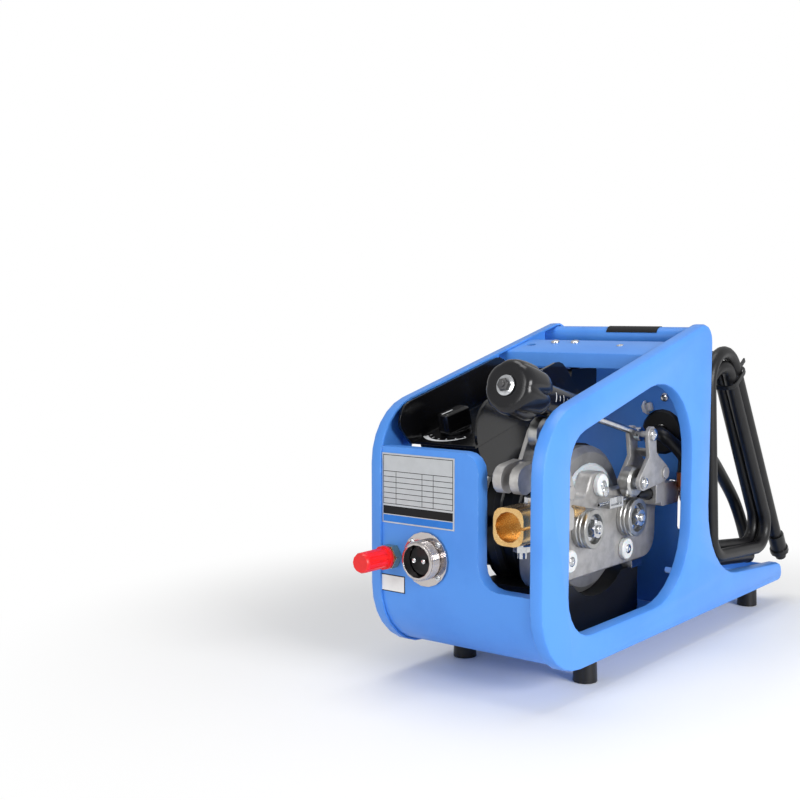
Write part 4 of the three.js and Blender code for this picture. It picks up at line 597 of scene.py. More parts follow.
# %% Plastics and rubber
black_plastic = finish(
    "black_plastic", srgb(21, 22, 24), srgb(14, 14, 16), 0.02, 0.4, 0.0008, 0.34, 0.12, 0.00003,
    edge=0.0008, edge_wear_and_highlight_share=0.25, edge_wear_and_highlight=srgb(60, 62, 66), Specular_IOR_Level=0.35,
)
hood_black = finish(
    "hood_black", srgb(17, 17, 19), srgb(12, 12, 13), 0.03, 0.4, 0.0013, 0.17, 0.06, 0.00002,
    edge=0.0012, edge_wear_and_highlight_share=0.2, edge_wear_and_highlight=srgb(60, 62, 66), Coat_Weight=0.2, Coat_Roughness=0.08,
    Specular_IOR_Level=0.35,
)
gloss_black = finish(
    "gloss_black", srgb(24, 24, 27), srgb(17, 17, 19), 0.015, 0.4, 0.0010, 0.20, 0.08, 0.00001,
    edge=0.0010, edge_wear_and_highlight_share=0.25, edge_wear_and_highlight=srgb(84, 86, 90), Specular_IOR_Level=0.35,
)
white_nylon = finish(
    "white_nylon", srgb(214, 216, 216), srgb(194, 198, 200), 0.008, 0.5, 0.0007, 0.36, 0.10, 0.00003,
    edge=0.0008, Subsurface_Weight=0.15, Subsurface_Scale=0.003,
)
red_plastic = finish(
    "red_plastic", srgb(232, 20, 22), srgb(206, 12, 16), 0.006, 0.4, 0.0007, 0.36, 0.12, 0.00004,
    edge=0.0008, Subsurface_Weight=0.08, Subsurface_Scale=0.002,
)
black_rubber = finish(
    "black_rubber", srgb(16, 16, 18), srgb(30, 30, 32), 0.012, 0.35, 0.0007, 0.38, 0.16, 0.00004,
    edge=0.0008, Specular_IOR_Level=0.35,
)
print("plastics and rubber ready")

# %% [markdown]
# Four solids differ from the rest of their kind: the socket is polished chrome, the gas fitting a paler
# brass, the gear case a darker casting, and the disc over it a greyer, clearer nylon.

# %% Finishes of single solids
chrome = finish(
    "chrome", srgb(196, 190, 188), srgb(176, 168, 164), 0.02, 0.3, 0.0010, 0.09, 0.04, 0.000004,
    edge=0.0005, Metallic=1.0,
)
pale_brass = finish(
    "pale_brass", srgb(222, 202, 164), srgb(196, 168, 120), 0.008, 0.4, 0.0008, 0.22, 0.1, 0.00001,
    edge=0.0006, Metallic=1.0,
)
gear_case_cast = finish(
    "gear_case_cast", srgb(158, 158, 160), srgb(124, 124, 126), 0.016, 0.5, 0.0008, 0.40, 0.2, 0.0002,
    edge=0.0012, edge_wear_and_highlight_share=0.7, edge_wear_and_highlight=srgb(206, 206, 208), Metallic=0.8,
)
disc_nylon = finish(
    "disc_nylon", srgb(184, 190, 195), srgb(160, 166, 172), 0.02, 0.4, 0.0009, 0.22, 0.08, 0.00002,
    edge=0.0008, Subsurface_Weight=0.2, Subsurface_Scale=0.004,
)
print("single finishes:", chrome.name, pale_brass.name, gear_case_cast.name, disc_nylon.name)

# %% [markdown]
# ## The CAD solids in their finishes
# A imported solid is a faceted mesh, with its round surfaces cut into flats. Merging its points, shading it
# smooth and splitting it where two faces meet at a sharp angle gives round surfaces that look round and edges
# that stay crisp. Both are modifiers, so the vertices themselves keep their places.

# %% Smooth shading for a solid
SHARP = math.radians(36)


def shade(piece, sharp=SHARP):
    mesh = piece.data
    if "custom_normal" in mesh.attributes:
        mesh.attributes.remove(mesh.attributes["custom_normal"])
    mesh.polygons.foreach_set("use_smooth", [True] * len(mesh.polygons))
    weld = piece.modifiers.new("weld", "WELD")
    weld.merge_threshold = 0.000002
    split = piece.modifiers.new("sharp_edges", "EDGE_SPLIT")
    split.split_angle = sharp


def paint(piece, material):
    piece.data.materials.clear()
    piece.data.materials.append(material)


SLOT_FINISH = {
    "blue_paint": blue_paint, "black_rubber": black_rubber, "cast_aluminium": cast_aluminium,
    "white_nylon": white_nylon, "black_plastic": black_plastic, "zinc_steel": zinc_steel, "brass": brass,
    "copper": copper, "turned_steel": spring_steel, "gloss_black": gloss_black, "red_plastic": red_plastic,
}
slot_of = {part["node"]: part["material_slot"] for part in frame["record"]["subparts"]}
OWN_FINISH = {**steel_of, "control_hood": hood_black, "current_knob": hood_black, "gear_cover": disc_nylon,
              "control_socket": chrome, "gas_fitting": pale_brass, "gear_case": gear_case_cast}
for name, node in nodes.items():
    shade(node)
    paint(node, OWN_FINISH.get(name) or SLOT_FINISH[slot_of[name]])
paint(supply_cable, black_rubber)
paint(inner_cable, black_rubber)
print("finished", len(nodes), "solids")

# %% [markdown]
# ## Small hardware
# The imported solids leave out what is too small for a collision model: screw heads, washers, plates and
# print. They are built here in the same frame. A screw head has to sit on whatever carries it, so its height
# is found by looking along the screw's axis at the solid itself instead of typing a number.

# %% Find a seat on a solid
from mathutils.bvhtree import BVHTree

trees = {}


def surface(node):
    if node not in trees:
        mesh = nodes[node].data
        trees[node] = BVHTree.FromPolygons([v.co for v in mesh.vertices], [p.vertices for p in mesh.polygons])
    return trees[node]


def seat(node, place, axis, spread=0.004):
    """Where a head pressed along -axis over place stops: the highest of four looks round the screw's hole."""
    axis = Vector(axis).normalized()
    side = axis.orthogonal().normalized()
    other = axis.cross(side)
    reach = 0.03
    best = -reach
    for way in (side, -side, other, -other):
        start = Vector(place) + way * spread + axis * reach
        hit = surface(node).ray_cast(start, -axis, 2 * reach)
        if hit[0] is not None:
            best = max(best, reach - hit[3])
    return Vector(place) + axis * best


slope_up = Vector((-math.sin(SLOPE), 0, math.cos(SLOPE)))
print("rail seat", [round(v, 4) for v in seat("cross_rail", at(-28, 42, 280), slope_up)])


# %% [markdown]
# Small pieces are drawn point by point and face by face with bmesh, which gives full control of each corner.
# A face may be drawn either way round, so the faces are all turned outward at the end.

# %% From drawn faces to a mesh
BOX_FACES = ((0, 1, 2, 3), (7, 6, 5, 4), (0, 4, 5, 1), (1, 5, 6, 2), (2, 6, 7, 3), (3, 7, 4, 0))


def mesh_of(bm, name, *materials):
    """Turn the faces outward, keep them as a mesh, and free the drawing."""
    bmesh.ops.recalc_face_normals(bm, faces=bm.faces)
    mesh = bpy.data.meshes.new(name)
    bm.to_mesh(mesh)
    bm.free()
    for material in materials:
        mesh.materials.append(material)
    return mesh


print("a box has", len(BOX_FACES), "faces")


# %% [markdown]
# A lathed outline makes every round part. The outline lists radius and height pairs, and each pair becomes
# one ring of points. Flats are the same thing with six points to a ring.

# %% Lathe
def ring_vert(bm, radius, angle, height):
    return bm.verts.new((radius * MM * math.cos(angle), radius * MM * math.sin(angle), height * MM))


def lathe(name, outline, sides=40):
    """A closed solid of revolution about +Z from (radius, height) pairs in millimetres, lowest first."""
    bm = bmesh.new()
    rings = []
    for radius, height in outline:
        if radius < 1e-6:
            rings.append([bm.verts.new((0, 0, height * MM))])
            continue
        rings.append([ring_vert(bm, radius, 2 * math.pi * k / sides, height) for k in range(sides)])
    for low, high in zip(rings, rings[1:]):
        for k in range(sides):
            n = k + 1
            corners = [low[k % len(low)], low[n % len(low)], high[n % len(high)], high[k % len(high)]]
            corners = list(dict.fromkeys(corners))
            if len(corners) > 2:
                bm.faces.new(corners)
    for ring, flip in ((rings[0], True), (rings[-1], False)):
        if len(ring) > 1:
            bm.faces.new(list(reversed(ring)) if flip else ring)
    return mesh_of(bm, name)


print("a test ring has", len(lathe("test_ring", [(5, 0), (5, 1)]).vertices), "points")


# %% [markdown]
# The cross recess of a screw is a real hole. Two crossed slots, each a narrow wedge, are cut out of the
# finished head once for each head size, and every screw of that size shares the mesh.

# %% Cut one solid from another
def cut(mesh, tool):
    body, wedge = linked("cut_body", mesh), linked("cut_tool", tool)
    modifier = body.modifiers.new("cut", "BOOLEAN")
    modifier.object = wedge
    modifier.operation = "DIFFERENCE"
    modifier.solver = "EXACT"
    result = baked(body, mesh.name)
    for piece in (body, wedge):
        bpy.data.objects.remove(piece)
    return result


def slot_wedge(arm, width, depth, top, turn):
    """One slot of a cross recess: a wedge that narrows downwards from the top of a head."""
    bm = bmesh.new()
    corners = []
    for z, share in ((top + 0.5, 1.0), (top - depth, 0.45)):
        for x, y in ((-1, -1), (1, -1), (1, 1), (-1, 1)):
            spot = Vector((x * arm * share, y * width / 2 * share, z)) * MM
            corners.append(bm.verts.new(Matrix.Rotation(turn, 3, "Z") @ spot))
    for face in BOX_FACES:
        bm.faces.new([corners[k] for k in face])
    return mesh_of(bm, "slot_wedge")


def pan_head(radius, height):
    """A screw head with a low dome and a cross recess."""
    flank = height * 0.45
    outline = [(radius, 0), (radius, flank)]
    for k in range(1, 6):
        a = math.pi / 2 * k / 6
        outline.append((radius * math.cos(a) * 0.98, flank + (height - flank) * math.sin(a)))
    outline.append((0, height))
    mesh = lathe("pan_head", outline)
    for turn in (0, math.pi / 2):
        mesh = cut(mesh, slot_wedge(radius * 0.56, radius * 0.24, height * 0.62, height, turn))
    return mesh


print("pan head of 4 mm:", len(pan_head(4, 2).polygons), "faces")


# %% Put a head in its place
def stand_on(name, mesh, place, axis, body, material, turn=0.0):
    piece = linked(name, mesh)
    facing = Vector(axis).normalized().to_track_quat("Z", "Y").to_matrix().to_4x4()
    piece.matrix_world = Matrix.Translation(place) @ facing @ Matrix.Rotation(turn, 4, "Z")
    if not mesh.materials:
        mesh.materials.append(material)
    shade_piece(piece)
    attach(piece, body)
    return piece


def shade_piece(piece, sharp=SHARP):
    piece.data.polygons.foreach_set("use_smooth", [True] * len(piece.data.polygons))
    split = piece.modifiers.new("sharp_edges", "EDGE_SPLIT")
    split.split_angle = sharp


def steel(name, mesh, place, axis, turn=0.0, body="frame"):
    return stand_on(name, mesh, place, axis, body, zinc_steel, turn)


print("heads share one way of standing")

# %% [markdown]
# Two pan heads show on the rail, and one more screw lies flush in it. Others stand on the bulkhead, over the
# rubber feet, and on the feed plate in the white nylon washers.

# %% Screws of the frame
RAIL_SCREWS, RAIL_FLUSH, RAIL_Z = [(-28.0, 42.0), (-27.0, 20.0)], (-34.0, -34.0), 294.8
rail_head = pan_head(4.2, 2.4)
for k, (x, y) in enumerate(RAIL_SCREWS):
    place = seat("cross_rail", at(x, y, RAIL_Z), slope_up)
    steel(f"rail_screw_{k + 1}", rail_head, place, slope_up, 0.5 + k)
flush = pan_head(3.4, 0.6)
place = seat("cross_rail", at(*RAIL_FLUSH, RAIL_Z), slope_up, 0.0035)
steel("rail_flush_screw", flush, place, slope_up, 0.3)

bulkhead_head = pan_head(4.4, 2.6)
for k, (y, z) in enumerate([(-40, 240), (-70, 250), (40, 240)]):
    place = seat("rear_bulkhead", at(BULKHEAD_FRONT, y, z), (-1, 0, 0))
    steel(f"bulkhead_screw_{k + 1}", bulkhead_head, place, (-1, 0, 0), 0.7 * k)

FLOOR_SHEET_REACH = 0.02
foot_head = pan_head(5.0, 2.8)
for name in ("foot_front_near", "foot_front_far", "foot_rear_near", "foot_rear_far"):
    low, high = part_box(name)
    middle_xy = (low + high) / 2
    place = seat("front_floor_sheet", Vector((middle_xy.x, middle_xy.y, high.z + 0.002)), (0, 0, 1), 0.0048)
    if abs(place.z - high.z) < FLOOR_SHEET_REACH:
        steel(name + "_screw", foot_head, place, (0, 0, 1), middle_xy.x * 40)
print("frame screws set")

# %% [markdown]
# On the drive, three screws stand in the nylon washers of the feed plate, and the pins of the two pressure
# arms end in low heads. Those ride on their arms, so that they swing with them.

# %% Screws of the drive
nylon_head = pan_head(4.4, 1.5)
for k, name in enumerate(("nylon_washer_top", "nylon_washer_right", "nylon_washer_left")):
    low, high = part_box(name)
    place = Vector(((low.x + high.x) / 2, low.y, (low.z + high.z) / 2))
    steel(name + "_screw", nylon_head, place, (0, -1, 0), 0.4 + k)

PIN_HEADS = {
    "rear_pivot_screw": ((5.7, 169.8), "rear_arm"),
    "rear_top_screw": ((-21.8, 208.9), "rear_arm"),
    "front_pivot_screw": ((-170, 170), "front_arm"),
}
pin_screw = pan_head(5.7, 1.8)
for name, ((x, z), body) in PIN_HEADS.items():
    node = "rear_pressure_arm" if body == "rear_arm" else "front_pressure_arm"
    place = seat(node, at(x, -66, z), (0, -1, 0), 0.003)
    steel(name, pin_screw, place, (0, -1, 0), x, body=body)
for name, node, (x, z), body in (
    ("rear_roller_screw", "rear_roller_pin", (-38.1, 164.7), "rear_arm"),
    ("front_roller_screw", "front_roller_pin", (-113, 165.2), "front_arm"),
):
    place = Vector((at(x, 0, z).x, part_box(node)[0].y, at(x, 0, z).z))
    steel(name, pan_head(4.8, 1.8), place, (0, -1, 0), x, body=body)
print("drive screws set")

# %% [markdown]
# Four hexagon bolts with washers hold the drive's base down on the floor sheet, and one more presses the
# copper lug of the supply cable against the stud behind it.

# %% Bolts of the base and the lug
def hex_head(flats, height):
    r = flats / math.sqrt(3)
    return lathe("hex_head", [(r, 0), (r, height - 0.5), (r - 0.7, height), (0, height)], 6)


def washer_under(radius, height):
    return lathe("washer", [(radius, 0), (radius, height - 0.2), (radius - 0.3, height), (0, height)], 48)


BASE_TOP, WASHER = 36, 1.4
base_bolt, base_washer = hex_head(10, 4.5), washer_under(8.5, WASHER)
for k, (x, y) in enumerate([(-159, -18), (-159, 30), (15, -18), (15, 30)]):
    place = seat("drive_base", at(x, y, BASE_TOP), (0, 0, 1), 0.0055)
    steel(f"base_washer_{k + 1}", base_washer, place, (0, 0, 1))
    steel(f"base_bolt_{k + 1}", base_bolt, place + Vector((0, 0, WASHER * MM)), (0, 0, 1), k)
lug_seat = seat("cable_lug", at(40, -68, 144), (-1, 0, 0), 0.0055)
steel("lug_washer", washer_under(7, WASHER), lug_seat, (-1, 0, 0))
steel("lug_bolt", hex_head(10, 4.8), lug_seat + Vector((-WASHER * MM, 0, 0)), (-1, 0, 0), 0.3)
print("bolts set")

# %% [markdown]
# ## Control socket
# The round socket takes the torch's control plug. Its chrome flange is held by four small cross screws, the
# shell has a fine thread for the plug's ring, and two bright pins stand in the black insert.

# %% Socket screws, thread and pins
SOCKET_X, SOCKET_Y, SOCKET_Z = -253, 28.4, 114.5
SCREW_CIRCLE, PIN_APART, PIN_SEAT = 19.8, 5, 8.1
socket_head = pan_head(2.7, 1.5)
for k in range(4):
    a = math.pi / 4 + k * math.pi / 2
    y, z = SOCKET_Y + SCREW_CIRCLE * math.cos(a), SOCKET_Z + SCREW_CIRCLE * math.sin(a)
    place = seat("control_socket", at(SOCKET_X, y, z), (-1, 0, 0), 0.0021)
    steel(f"socket_screw_{k + 1}", socket_head, place, (-1, 0, 0), k * 0.8)

THREAD_PITCH, THREAD_TURNS, THREAD_START, SHELL_RADIUS = 1.1, 8, 1.2, 16.5
THREAD_INSIDE, THREAD_ROOT, THREAD_CREST = SHELL_RADIUS - 0.4, SHELL_RADIUS + 0.1, SHELL_RADIUS + 0.55
ridge = []
for k in range(THREAD_TURNS):
    z = THREAD_START + k * THREAD_PITCH
    ridge.append((THREAD_ROOT, z))
    ridge += [(THREAD_CREST, z + THREAD_PITCH * share) for share in (0.35, 0.5)]
ridge.append((THREAD_ROOT, THREAD_START + THREAD_TURNS * THREAD_PITCH))
inner = [(THREAD_INSIDE, ridge[-1][1]), (THREAD_INSIDE, THREAD_START)]


def lathed_ring(name, outline, sides=64):
    """A ring whose closed outline lies away from the axis."""
    bm = bmesh.new()
    columns = []
    for k in range(sides):
        columns.append([ring_vert(bm, r, 2 * math.pi * k / sides, z) for r, z in outline])
    count = len(outline)
    for k in range(sides):
        here, there = columns[k], columns[(k + 1) % sides]
        for i in range(count):
            j = (i + 1) % count
            bm.faces.new([here[i], there[i], there[j], here[j]])
    return mesh_of(bm, name)


thread = lathed_ring("socket_thread", ridge + inner)
stand_on("socket_thread", thread, at(SOCKET_X, SOCKET_Y, SOCKET_Z), (-1, 0, 0), "frame", chrome)
pin_outline = [(2.25, 0), (2.25, 7.2), (2.0, 7.9), (1.2, 8.4), (0, 8.5)]
insert_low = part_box("socket_insert")[0]
for k, side in enumerate((-1, 1)):
    place = at(0, SOCKET_Y + side * PIN_APART, SOCKET_Z)
    place.x = insert_low.x + PIN_SEAT * MM
    steel(f"socket_pin_{k + 1}", lathe("socket_pin", pin_outline, 24), place, (-1, 0, 0))
print("socket finished; insert front at", round(insert_low.x, 4))

# %% [markdown]
# ## Plates and print
# The front panel carries a rating plate and a small label beside the gas fitting, and the handle tube a dark
# label. Their lettering is left off, so the plate has its border, its ruled rows and its bands, and the
# labels stay bare. Each is a thin sheet that stands a fraction of a millimetre proud of what it sticks to.

# %% Flat print on the front panel
PANEL_X = -250.2


def flat_ink(name, colour, rough=0.4, metallic=0.0):
    darker = [max(c - 12, 0) for c in colour]
    return finish(name, srgb(*colour), srgb(*darker), 0.01, 0.4, 0.0004, rough, 0.08, 0.00001,
                  edge=0.0002, Metallic=metallic, Specular_IOR_Level=0.25)


silver_foil = flat_ink("silver_foil", (196, 199, 203), 0.3, 0.85)
plate_grey = flat_ink("plate_grey", (186, 189, 192))
plate_black = flat_ink("plate_black", (14, 14, 16), 0.6)
plate_blue = flat_ink("plate_blue", (44, 120, 208), 0.5)
label_white = flat_ink("label_white", (236, 237, 236))


def panel_sheet(name, fields, thick):
    """Rectangles (y0, y1, z0, z1, layer, material) stacked on the panel as one piece."""
    bm = bmesh.new()
    materials = []
    for y0, y1, z0, z1, layer, material in fields:
        if material not in materials:
            materials.append(material)
        front = PANEL_X - thick - layer * 0.06
        rear = PANEL_X - 0.02
        around_field = ((y0, z0), (y1, z0), (y1, z1), (y0, z1))
        corners = [bm.verts.new(at(x, y, z)) for x in (front, rear) for y, z in around_field]
        for face in BOX_FACES:
            bm.faces.new([corners[k] for k in face]).material_index = materials.index(material)
    piece = linked(name, mesh_of(bm, name, *materials))
    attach(piece, "frame")
    return piece


print("panel is at x", round(at(PANEL_X, 0, 0).x, 5))

# %% Rating plate and gas label
PLATE = (-1.0, 77.5, 141.5, 202.4)
MARGIN, LINE = 1.5, 0.5
ROWS, ROW_HEIGHT, ROWS_FOOT = 6, 4.7, 158.2
y0, y1, z0, z1 = PLATE
inner_left, inner_right, inner_top = y0 + MARGIN, y1 - MARGIN, z1 - MARGIN
rows_top = ROWS_FOOT + ROWS * ROW_HEIGHT
fields = [
    (y0, y1, z0, z1, 0, silver_foil),
    (inner_left, inner_right, 158, inner_top, 1, plate_grey),
    (inner_left, inner_right, 149.4, 156.5, 1, plate_black),
    (inner_left, inner_right, z0 + 1.2, 148.6, 1, plate_blue),
]
for z in [*(ROWS_FOOT + k * ROW_HEIGHT for k in range(ROWS + 1)), inner_top - LINE]:
    fields.append((inner_left, inner_right, z, z + LINE, 2, plate_black))
for y, top in (
    (inner_left, inner_top), (inner_right - LINE, inner_top), (y0 + 34, rows_top), (y0 + 22, rows_top),
    (y1 - 16, rows_top),
):
    fields.append((y, y + LINE, ROWS_FOOT, top, 2, plate_black))
panel_sheet("rating_plate", fields, 0.4)
panel_sheet(
    "gas_label", [(52.4, 80.3, 81, 96, 0, plate_black), (53.2, 79.5, 81.8, 95.2, 1, label_white)], 0.2
)
print("plate is", y1 - y0, "by", round(z1 - z0, 1), "mm")


# %% Label round the handle tube
def tube_label():
    middle_x, middle_z, radius = 34, 301.3, 9.8
    first, last, steps = math.radians(62), math.radians(158), 20
    bm = bmesh.new()
    rows_ = []
    for r in (radius + 0.02, radius + 0.2):
        for y in (-42, 15):
            rows_.append([
                bm.verts.new(at(middle_x + r * math.cos(a), y, middle_z + r * math.sin(a)))
                for a in (first + (last - first) * k / steps for k in range(steps + 1))
            ])
    inner_a, inner_b, outer_a, outer_b = rows_
    for low, high in ((inner_b, inner_a), (outer_a, outer_b), (inner_a, outer_a), (outer_b, inner_b)):
        for k in range(steps):
            bm.faces.new([low[k], low[k + 1], high[k + 1], high[k]])
    for k in (0, steps):
        bm.faces.new([inner_a[k], inner_b[k], outer_b[k], outer_a[k]])
    mesh = mesh_of(bm, "tube_label", plate_black)
    piece = linked("tube_label", mesh)
    shade_piece(piece)
    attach(piece, "frame")
    return piece


tube_label()
print("tube label wrapped")

# %% [markdown]
# The control knob stands on the sloping floor of the hood. A white line on its top shows where it points, and
# a white arc with ticks is printed round it. Both are drawn in the hood's own plane: one axis runs up the
# slope, the other across the feeder.

# %% Pointer and arc of the control
KNOB_S, KNOB_Y, HOOD_DROP = 65.6, 51.0, 38.0
INK_LIFT = 0.12
white_ink = flat_ink("white_ink", (232, 234, 236), 0.5)


def on_hood(s, y, lift):
    drop = HOOD_DROP - lift
    return at(
        -252.5 + s * math.cos(SLOPE) + drop * math.sin(SLOPE), y,
        237 + s * math.sin(SLOPE) - drop * math.cos(SLOPE),
    )


def ink_strip(name, strips, body, low=0.02, high=INK_LIFT, place=on_hood):
    """Closed thin strips, each a list of (s, y) points on its left and right side."""
    bm = bmesh.new()
    for left, right in strips:
        a, b, c, d = [
            [bm.verts.new(place(s, y, lift)) for s, y in side]
            for lift in (low, high) for side in (left, right)
        ]
        for one, two in ((b, a), (c, d), (a, c), (d, b)):
            for k in range(len(one) - 1):
                bm.faces.new([one[k], one[k + 1], two[k + 1], two[k]])
        for k in (0, len(a) - 1):
            bm.faces.new([a[k], b[k], d[k], c[k]])
    mesh = mesh_of(bm, name, white_ink)
    piece = linked(name, mesh)
    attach(piece, body)
    return piece


def around(radius, degrees):
    a = math.radians(degrees)
    return (KNOB_S + radius * math.cos(a), KNOB_Y + radius * math.sin(a))


ARC_STEPS, ARC_FIRST, ARC_LAST, ARC_RADIUS = 28, 130, 236, 25.2
angles = [ARC_FIRST + (ARC_LAST - ARC_FIRST) * k / ARC_STEPS for k in range(ARC_STEPS + 1)]
arc = (
    [around(ARC_RADIUS, a) for a in angles],
    [around(ARC_RADIUS + 1.0 + 3.6 * (1 - k / ARC_STEPS), a) for k, a in enumerate(angles)],
)
ticks = [
    ([around(21.5, a - 1.2), around(23.8, a - 1.2)], [around(21.5, a + 1.2), around(23.8, a + 1.2)])
    for a in (130, 151, 172, 193, 215, 236)
]
ink_strip("control_arc", [arc, *ticks], "frame")
turn = math.radians(-9)
KNOB_TOP = 20.0
POINTER_ENDS, POINTER_HALF = (-13.4, -0.5), 0.7


def on_knob(x, y):
    """A place on the knob's top, turned with it about its own axis."""
    return (
        KNOB_S + x * math.cos(turn) - y * math.sin(turn),
        KNOB_Y + x * math.sin(turn) + y * math.cos(turn),
    )


pointer = [tuple([on_knob(x, y) for x in POINTER_ENDS] for y in (-POINTER_HALF, POINTER_HALF))]
ink_strip("knob_pointer", pointer, "current_control", KNOB_TOP + 0.02, KNOB_TOP + 0.15)
print("pointer drawn at", [round(v, 4) for v in on_hood(KNOB_S, KNOB_Y, KNOB_TOP)])

# %% [markdown]
# The pressure handle has a scale: short white marks across the sleeve, read against the edge of the knob.

# %% Scale on the pressure sleeve
HANDLE_PIN, HANDLE_LIFT = (-21.8, -50, 208.9), math.radians(13.9)
SLEEVE_RADIUS = 13.5
handle_way = Vector((-math.cos(HANDLE_LIFT), 0, math.sin(HANDLE_LIFT)))
handle_up = Vector((math.sin(HANDLE_LIFT), 0, math.cos(HANDLE_LIFT)))
handle_side = Vector((0, -1, 0))


def on_sleeve(s, degrees, lift):
    a = math.radians(degrees)
    outward = handle_up * math.sin(a) + handle_side * math.cos(a)
    return at(*(Vector(HANDLE_PIN) + handle_way * s + outward * (SLEEVE_RADIUS + lift)))


scale_marks = []
for k in range(5):
    s = 152 + 6 * k
    spread = 34 if k % 2 == 0 else 20
    points = [8 - spread / 2 + spread * n / 6 for n in range(7)]
    scale_marks.append(([(s, a) for a in points], [(s + 0.9, a) for a in points]))
ink_strip("pressure_scale", scale_marks, "pressure_handle", 0.02, 0.14, place=on_sleeve)
print("scale has", len(scale_marks), "marks")

# %% [markdown]
# The grip of the handle is a moulded knob with six broad lobes. They are deep at the back, where fingers
# hold it, and fade towards the round front rim. The CAD solid has few facets, so a finer shell takes its
# place. Its outline along the axis is listed once, and the lobes pull each ring in by a share that fades.

# %% Fine pressure knob
KNOB_RINGS = [
    (192.0, 18.6), (193.6, 20.6), (197.0, 22.4), (202.0, 23.7), (208.0, 24.0), (216.0, 24.0), (223.0, 23.5),
    (227.5, 22.6), (230.0, 21.2), (231.4, 19.4), (232.0, 17.6), (231.6, 12.0), (231.6, 3.9),
    (208.0, 3.9), (208.0, 14.1), (192.0, 14.1),
]
OUTER_RINGS = 11
LOBES, KNOB_STEPS = 6, 120
LOBE_DEEP, LOBE_FAINT = 0.20, 0.035


def lobed(s, size, angle):
    fade = smoothstep(s, 198, 231)
    depth = LOBE_DEEP + (LOBE_FAINT - LOBE_DEEP) * fade
    dip = (1 - abs(math.cos(angle * LOBES / 2))) ** 2
    return size * (1 - depth * dip)


def round_handle(s, r, angle):
    outward = handle_up * math.cos(angle) + Vector((0, 1, 0)) * math.sin(angle)
    return at(*(Vector(HANDLE_PIN) + handle_way * s + outward * r))


def pressure_grip():
    bm = bmesh.new()
    columns = []
    for k in range(KNOB_STEPS):
        angle = 2 * math.pi * k / KNOB_STEPS
        columns.append([
            bm.verts.new(round_handle(s, lobed(s, r, angle) if i < OUTER_RINGS else r, angle))
            for i, (s, r) in enumerate(KNOB_RINGS)
        ])
    for k, here in enumerate(columns):
        there = columns[(k + 1) % KNOB_STEPS]
        for i in range(len(here)):
            j = (i + 1) % len(here)
            bm.faces.new([here[i], there[i], there[j], here[j]])
    mesh = mesh_of(bm, "pressure_grip", gloss_black)
    piece = linked("pressure_grip", mesh)
    shade_piece(piece, math.radians(50))
    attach(piece, nodes["pressure_knob"]["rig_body"])
    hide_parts("pressure_knob")
    return piece


grip = pressure_grip()
print("grip has", len(grip.data.polygons), "faces")

# %% [markdown]
# The grip is closed by a bright washer and a darker hexagon bolt with a threaded end. All three ride on the
# body of the grip's own bolt, which turns and slides with the knob's screw.

# %% Bolt on the grip
bolt_seat = at(*(Vector(HANDLE_PIN) + handle_way * 232.3))
knob_body = nodes["knob_bolt"]["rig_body"]
knob_washer = steel("knob_washer", washer_under(8.5, 1.6), bolt_seat, handle_way, body=knob_body)
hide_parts("knob_bolt")
dark_steel = turned_steel("dark_steel", -21.8, 208.9, (92, 92, 94))
hex_outline = [(5.6, 0), (5.6, 3.4), (5.0, 4.4), (0, 4.5)]
stand_on("knob_bolt_head", lathe("knob_bolt_head", hex_outline, 6),
         bolt_seat + handle_way * 1.6 * MM, handle_way, knob_body, dark_steel, 0.2)
stand_on("knob_bolt_end", lathe("knob_bolt_end", [(2.4, 4.4), (2.4, 5.5), (2.0, 5.9), (0, 5.9)], 24),
         bolt_seat + handle_way * 1.6 * MM, handle_way, knob_body, dark_steel)
print("bolt rides on", knob_body)

# %% [markdown]
# Each drive roller is held on its shaft by a zinc nut on a broad washer, with the end of the threaded stud
# showing. The finer nut has the turned chamfer of a real one, which cuts the corners of the hexagon.

# %% Roller nuts
def chamfered_nut(flats, height):
    """A hexagon met with a cone, so that its corners are cut round as on a real nut."""
    bm = bmesh.new()
    steps = 60
    corner = flats / math.sqrt(3)
    rings = []
    for z, cone in ((0, corner), (height * 0.82, corner), (height, flats / 2 * 0.97)):
        ring = []
        for k in range(steps):
            a = 2 * math.pi * k / steps
            flat = flats / 2 / math.cos((a + math.pi / 6) % (math.pi / 3) - math.pi / 6)
            ring.append(ring_vert(bm, min(flat, cone), a, z))
        rings.append(ring)
    for low, high in zip(rings, rings[1:]):
        for k in range(steps):
            bm.faces.new([low[k], low[(k + 1) % steps], high[(k + 1) % steps], high[k]])
    bm.faces.new(list(reversed(rings[0])))
    bm.faces.new(rings[-1])
    return mesh_of(bm, "chamfered_nut")


def stud_end(radius, height, pitch=0.9):
    outline = [(radius * 0.88, 0)]
    turns = int(height / pitch)
    for k in range(turns):
        outline += [(radius, (k + 0.5) * pitch), (radius * 0.88, (k + 1) * pitch)]
    outline += [(radius * 0.7, height + 0.3), (0, height + 0.3)]
    return lathe("stud_end", outline, 28)


for end in ("rear", "front"):
    node = "roller_nut_" + end
    low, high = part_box(node)
    body = nodes[node]["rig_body"]
    face = Vector(((low.x + high.x) / 2, high.y, (low.z + high.z) / 2))
    out = Vector((0, -1, 0))
    washer = steel(f"roller_washer_{end}", washer_under(11.6, 1.6), face, out, body=body)
    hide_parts(node)
    steel(f"roller_hex_{end}", chamfered_nut(16, 6.6), face + out * 1.6 * MM, out, 0.25, body=body)
    steel(f"roller_stud_{end}", stud_end(4.0, 2.6), face + out * 8.2 * MM, out, body=body)
    print(node, "rides on", body)

# %% [markdown]
# A white nylon clip is screwed to the bulkhead beside the grommet, where the leads are tied. It is a small
# moulded block with a raised loop, so it is made as one rounded box and one half ring.

# %% Lead clip on the bulkhead
CLIP_SIZE, CLIP_EDGE = Vector((12, 9, 5)), 1.2
LOOP_RADIUS, LOOP_FOOT, LOOP_THICK, LOOP_STEPS = 6.0, 4.2, 3.0, 16


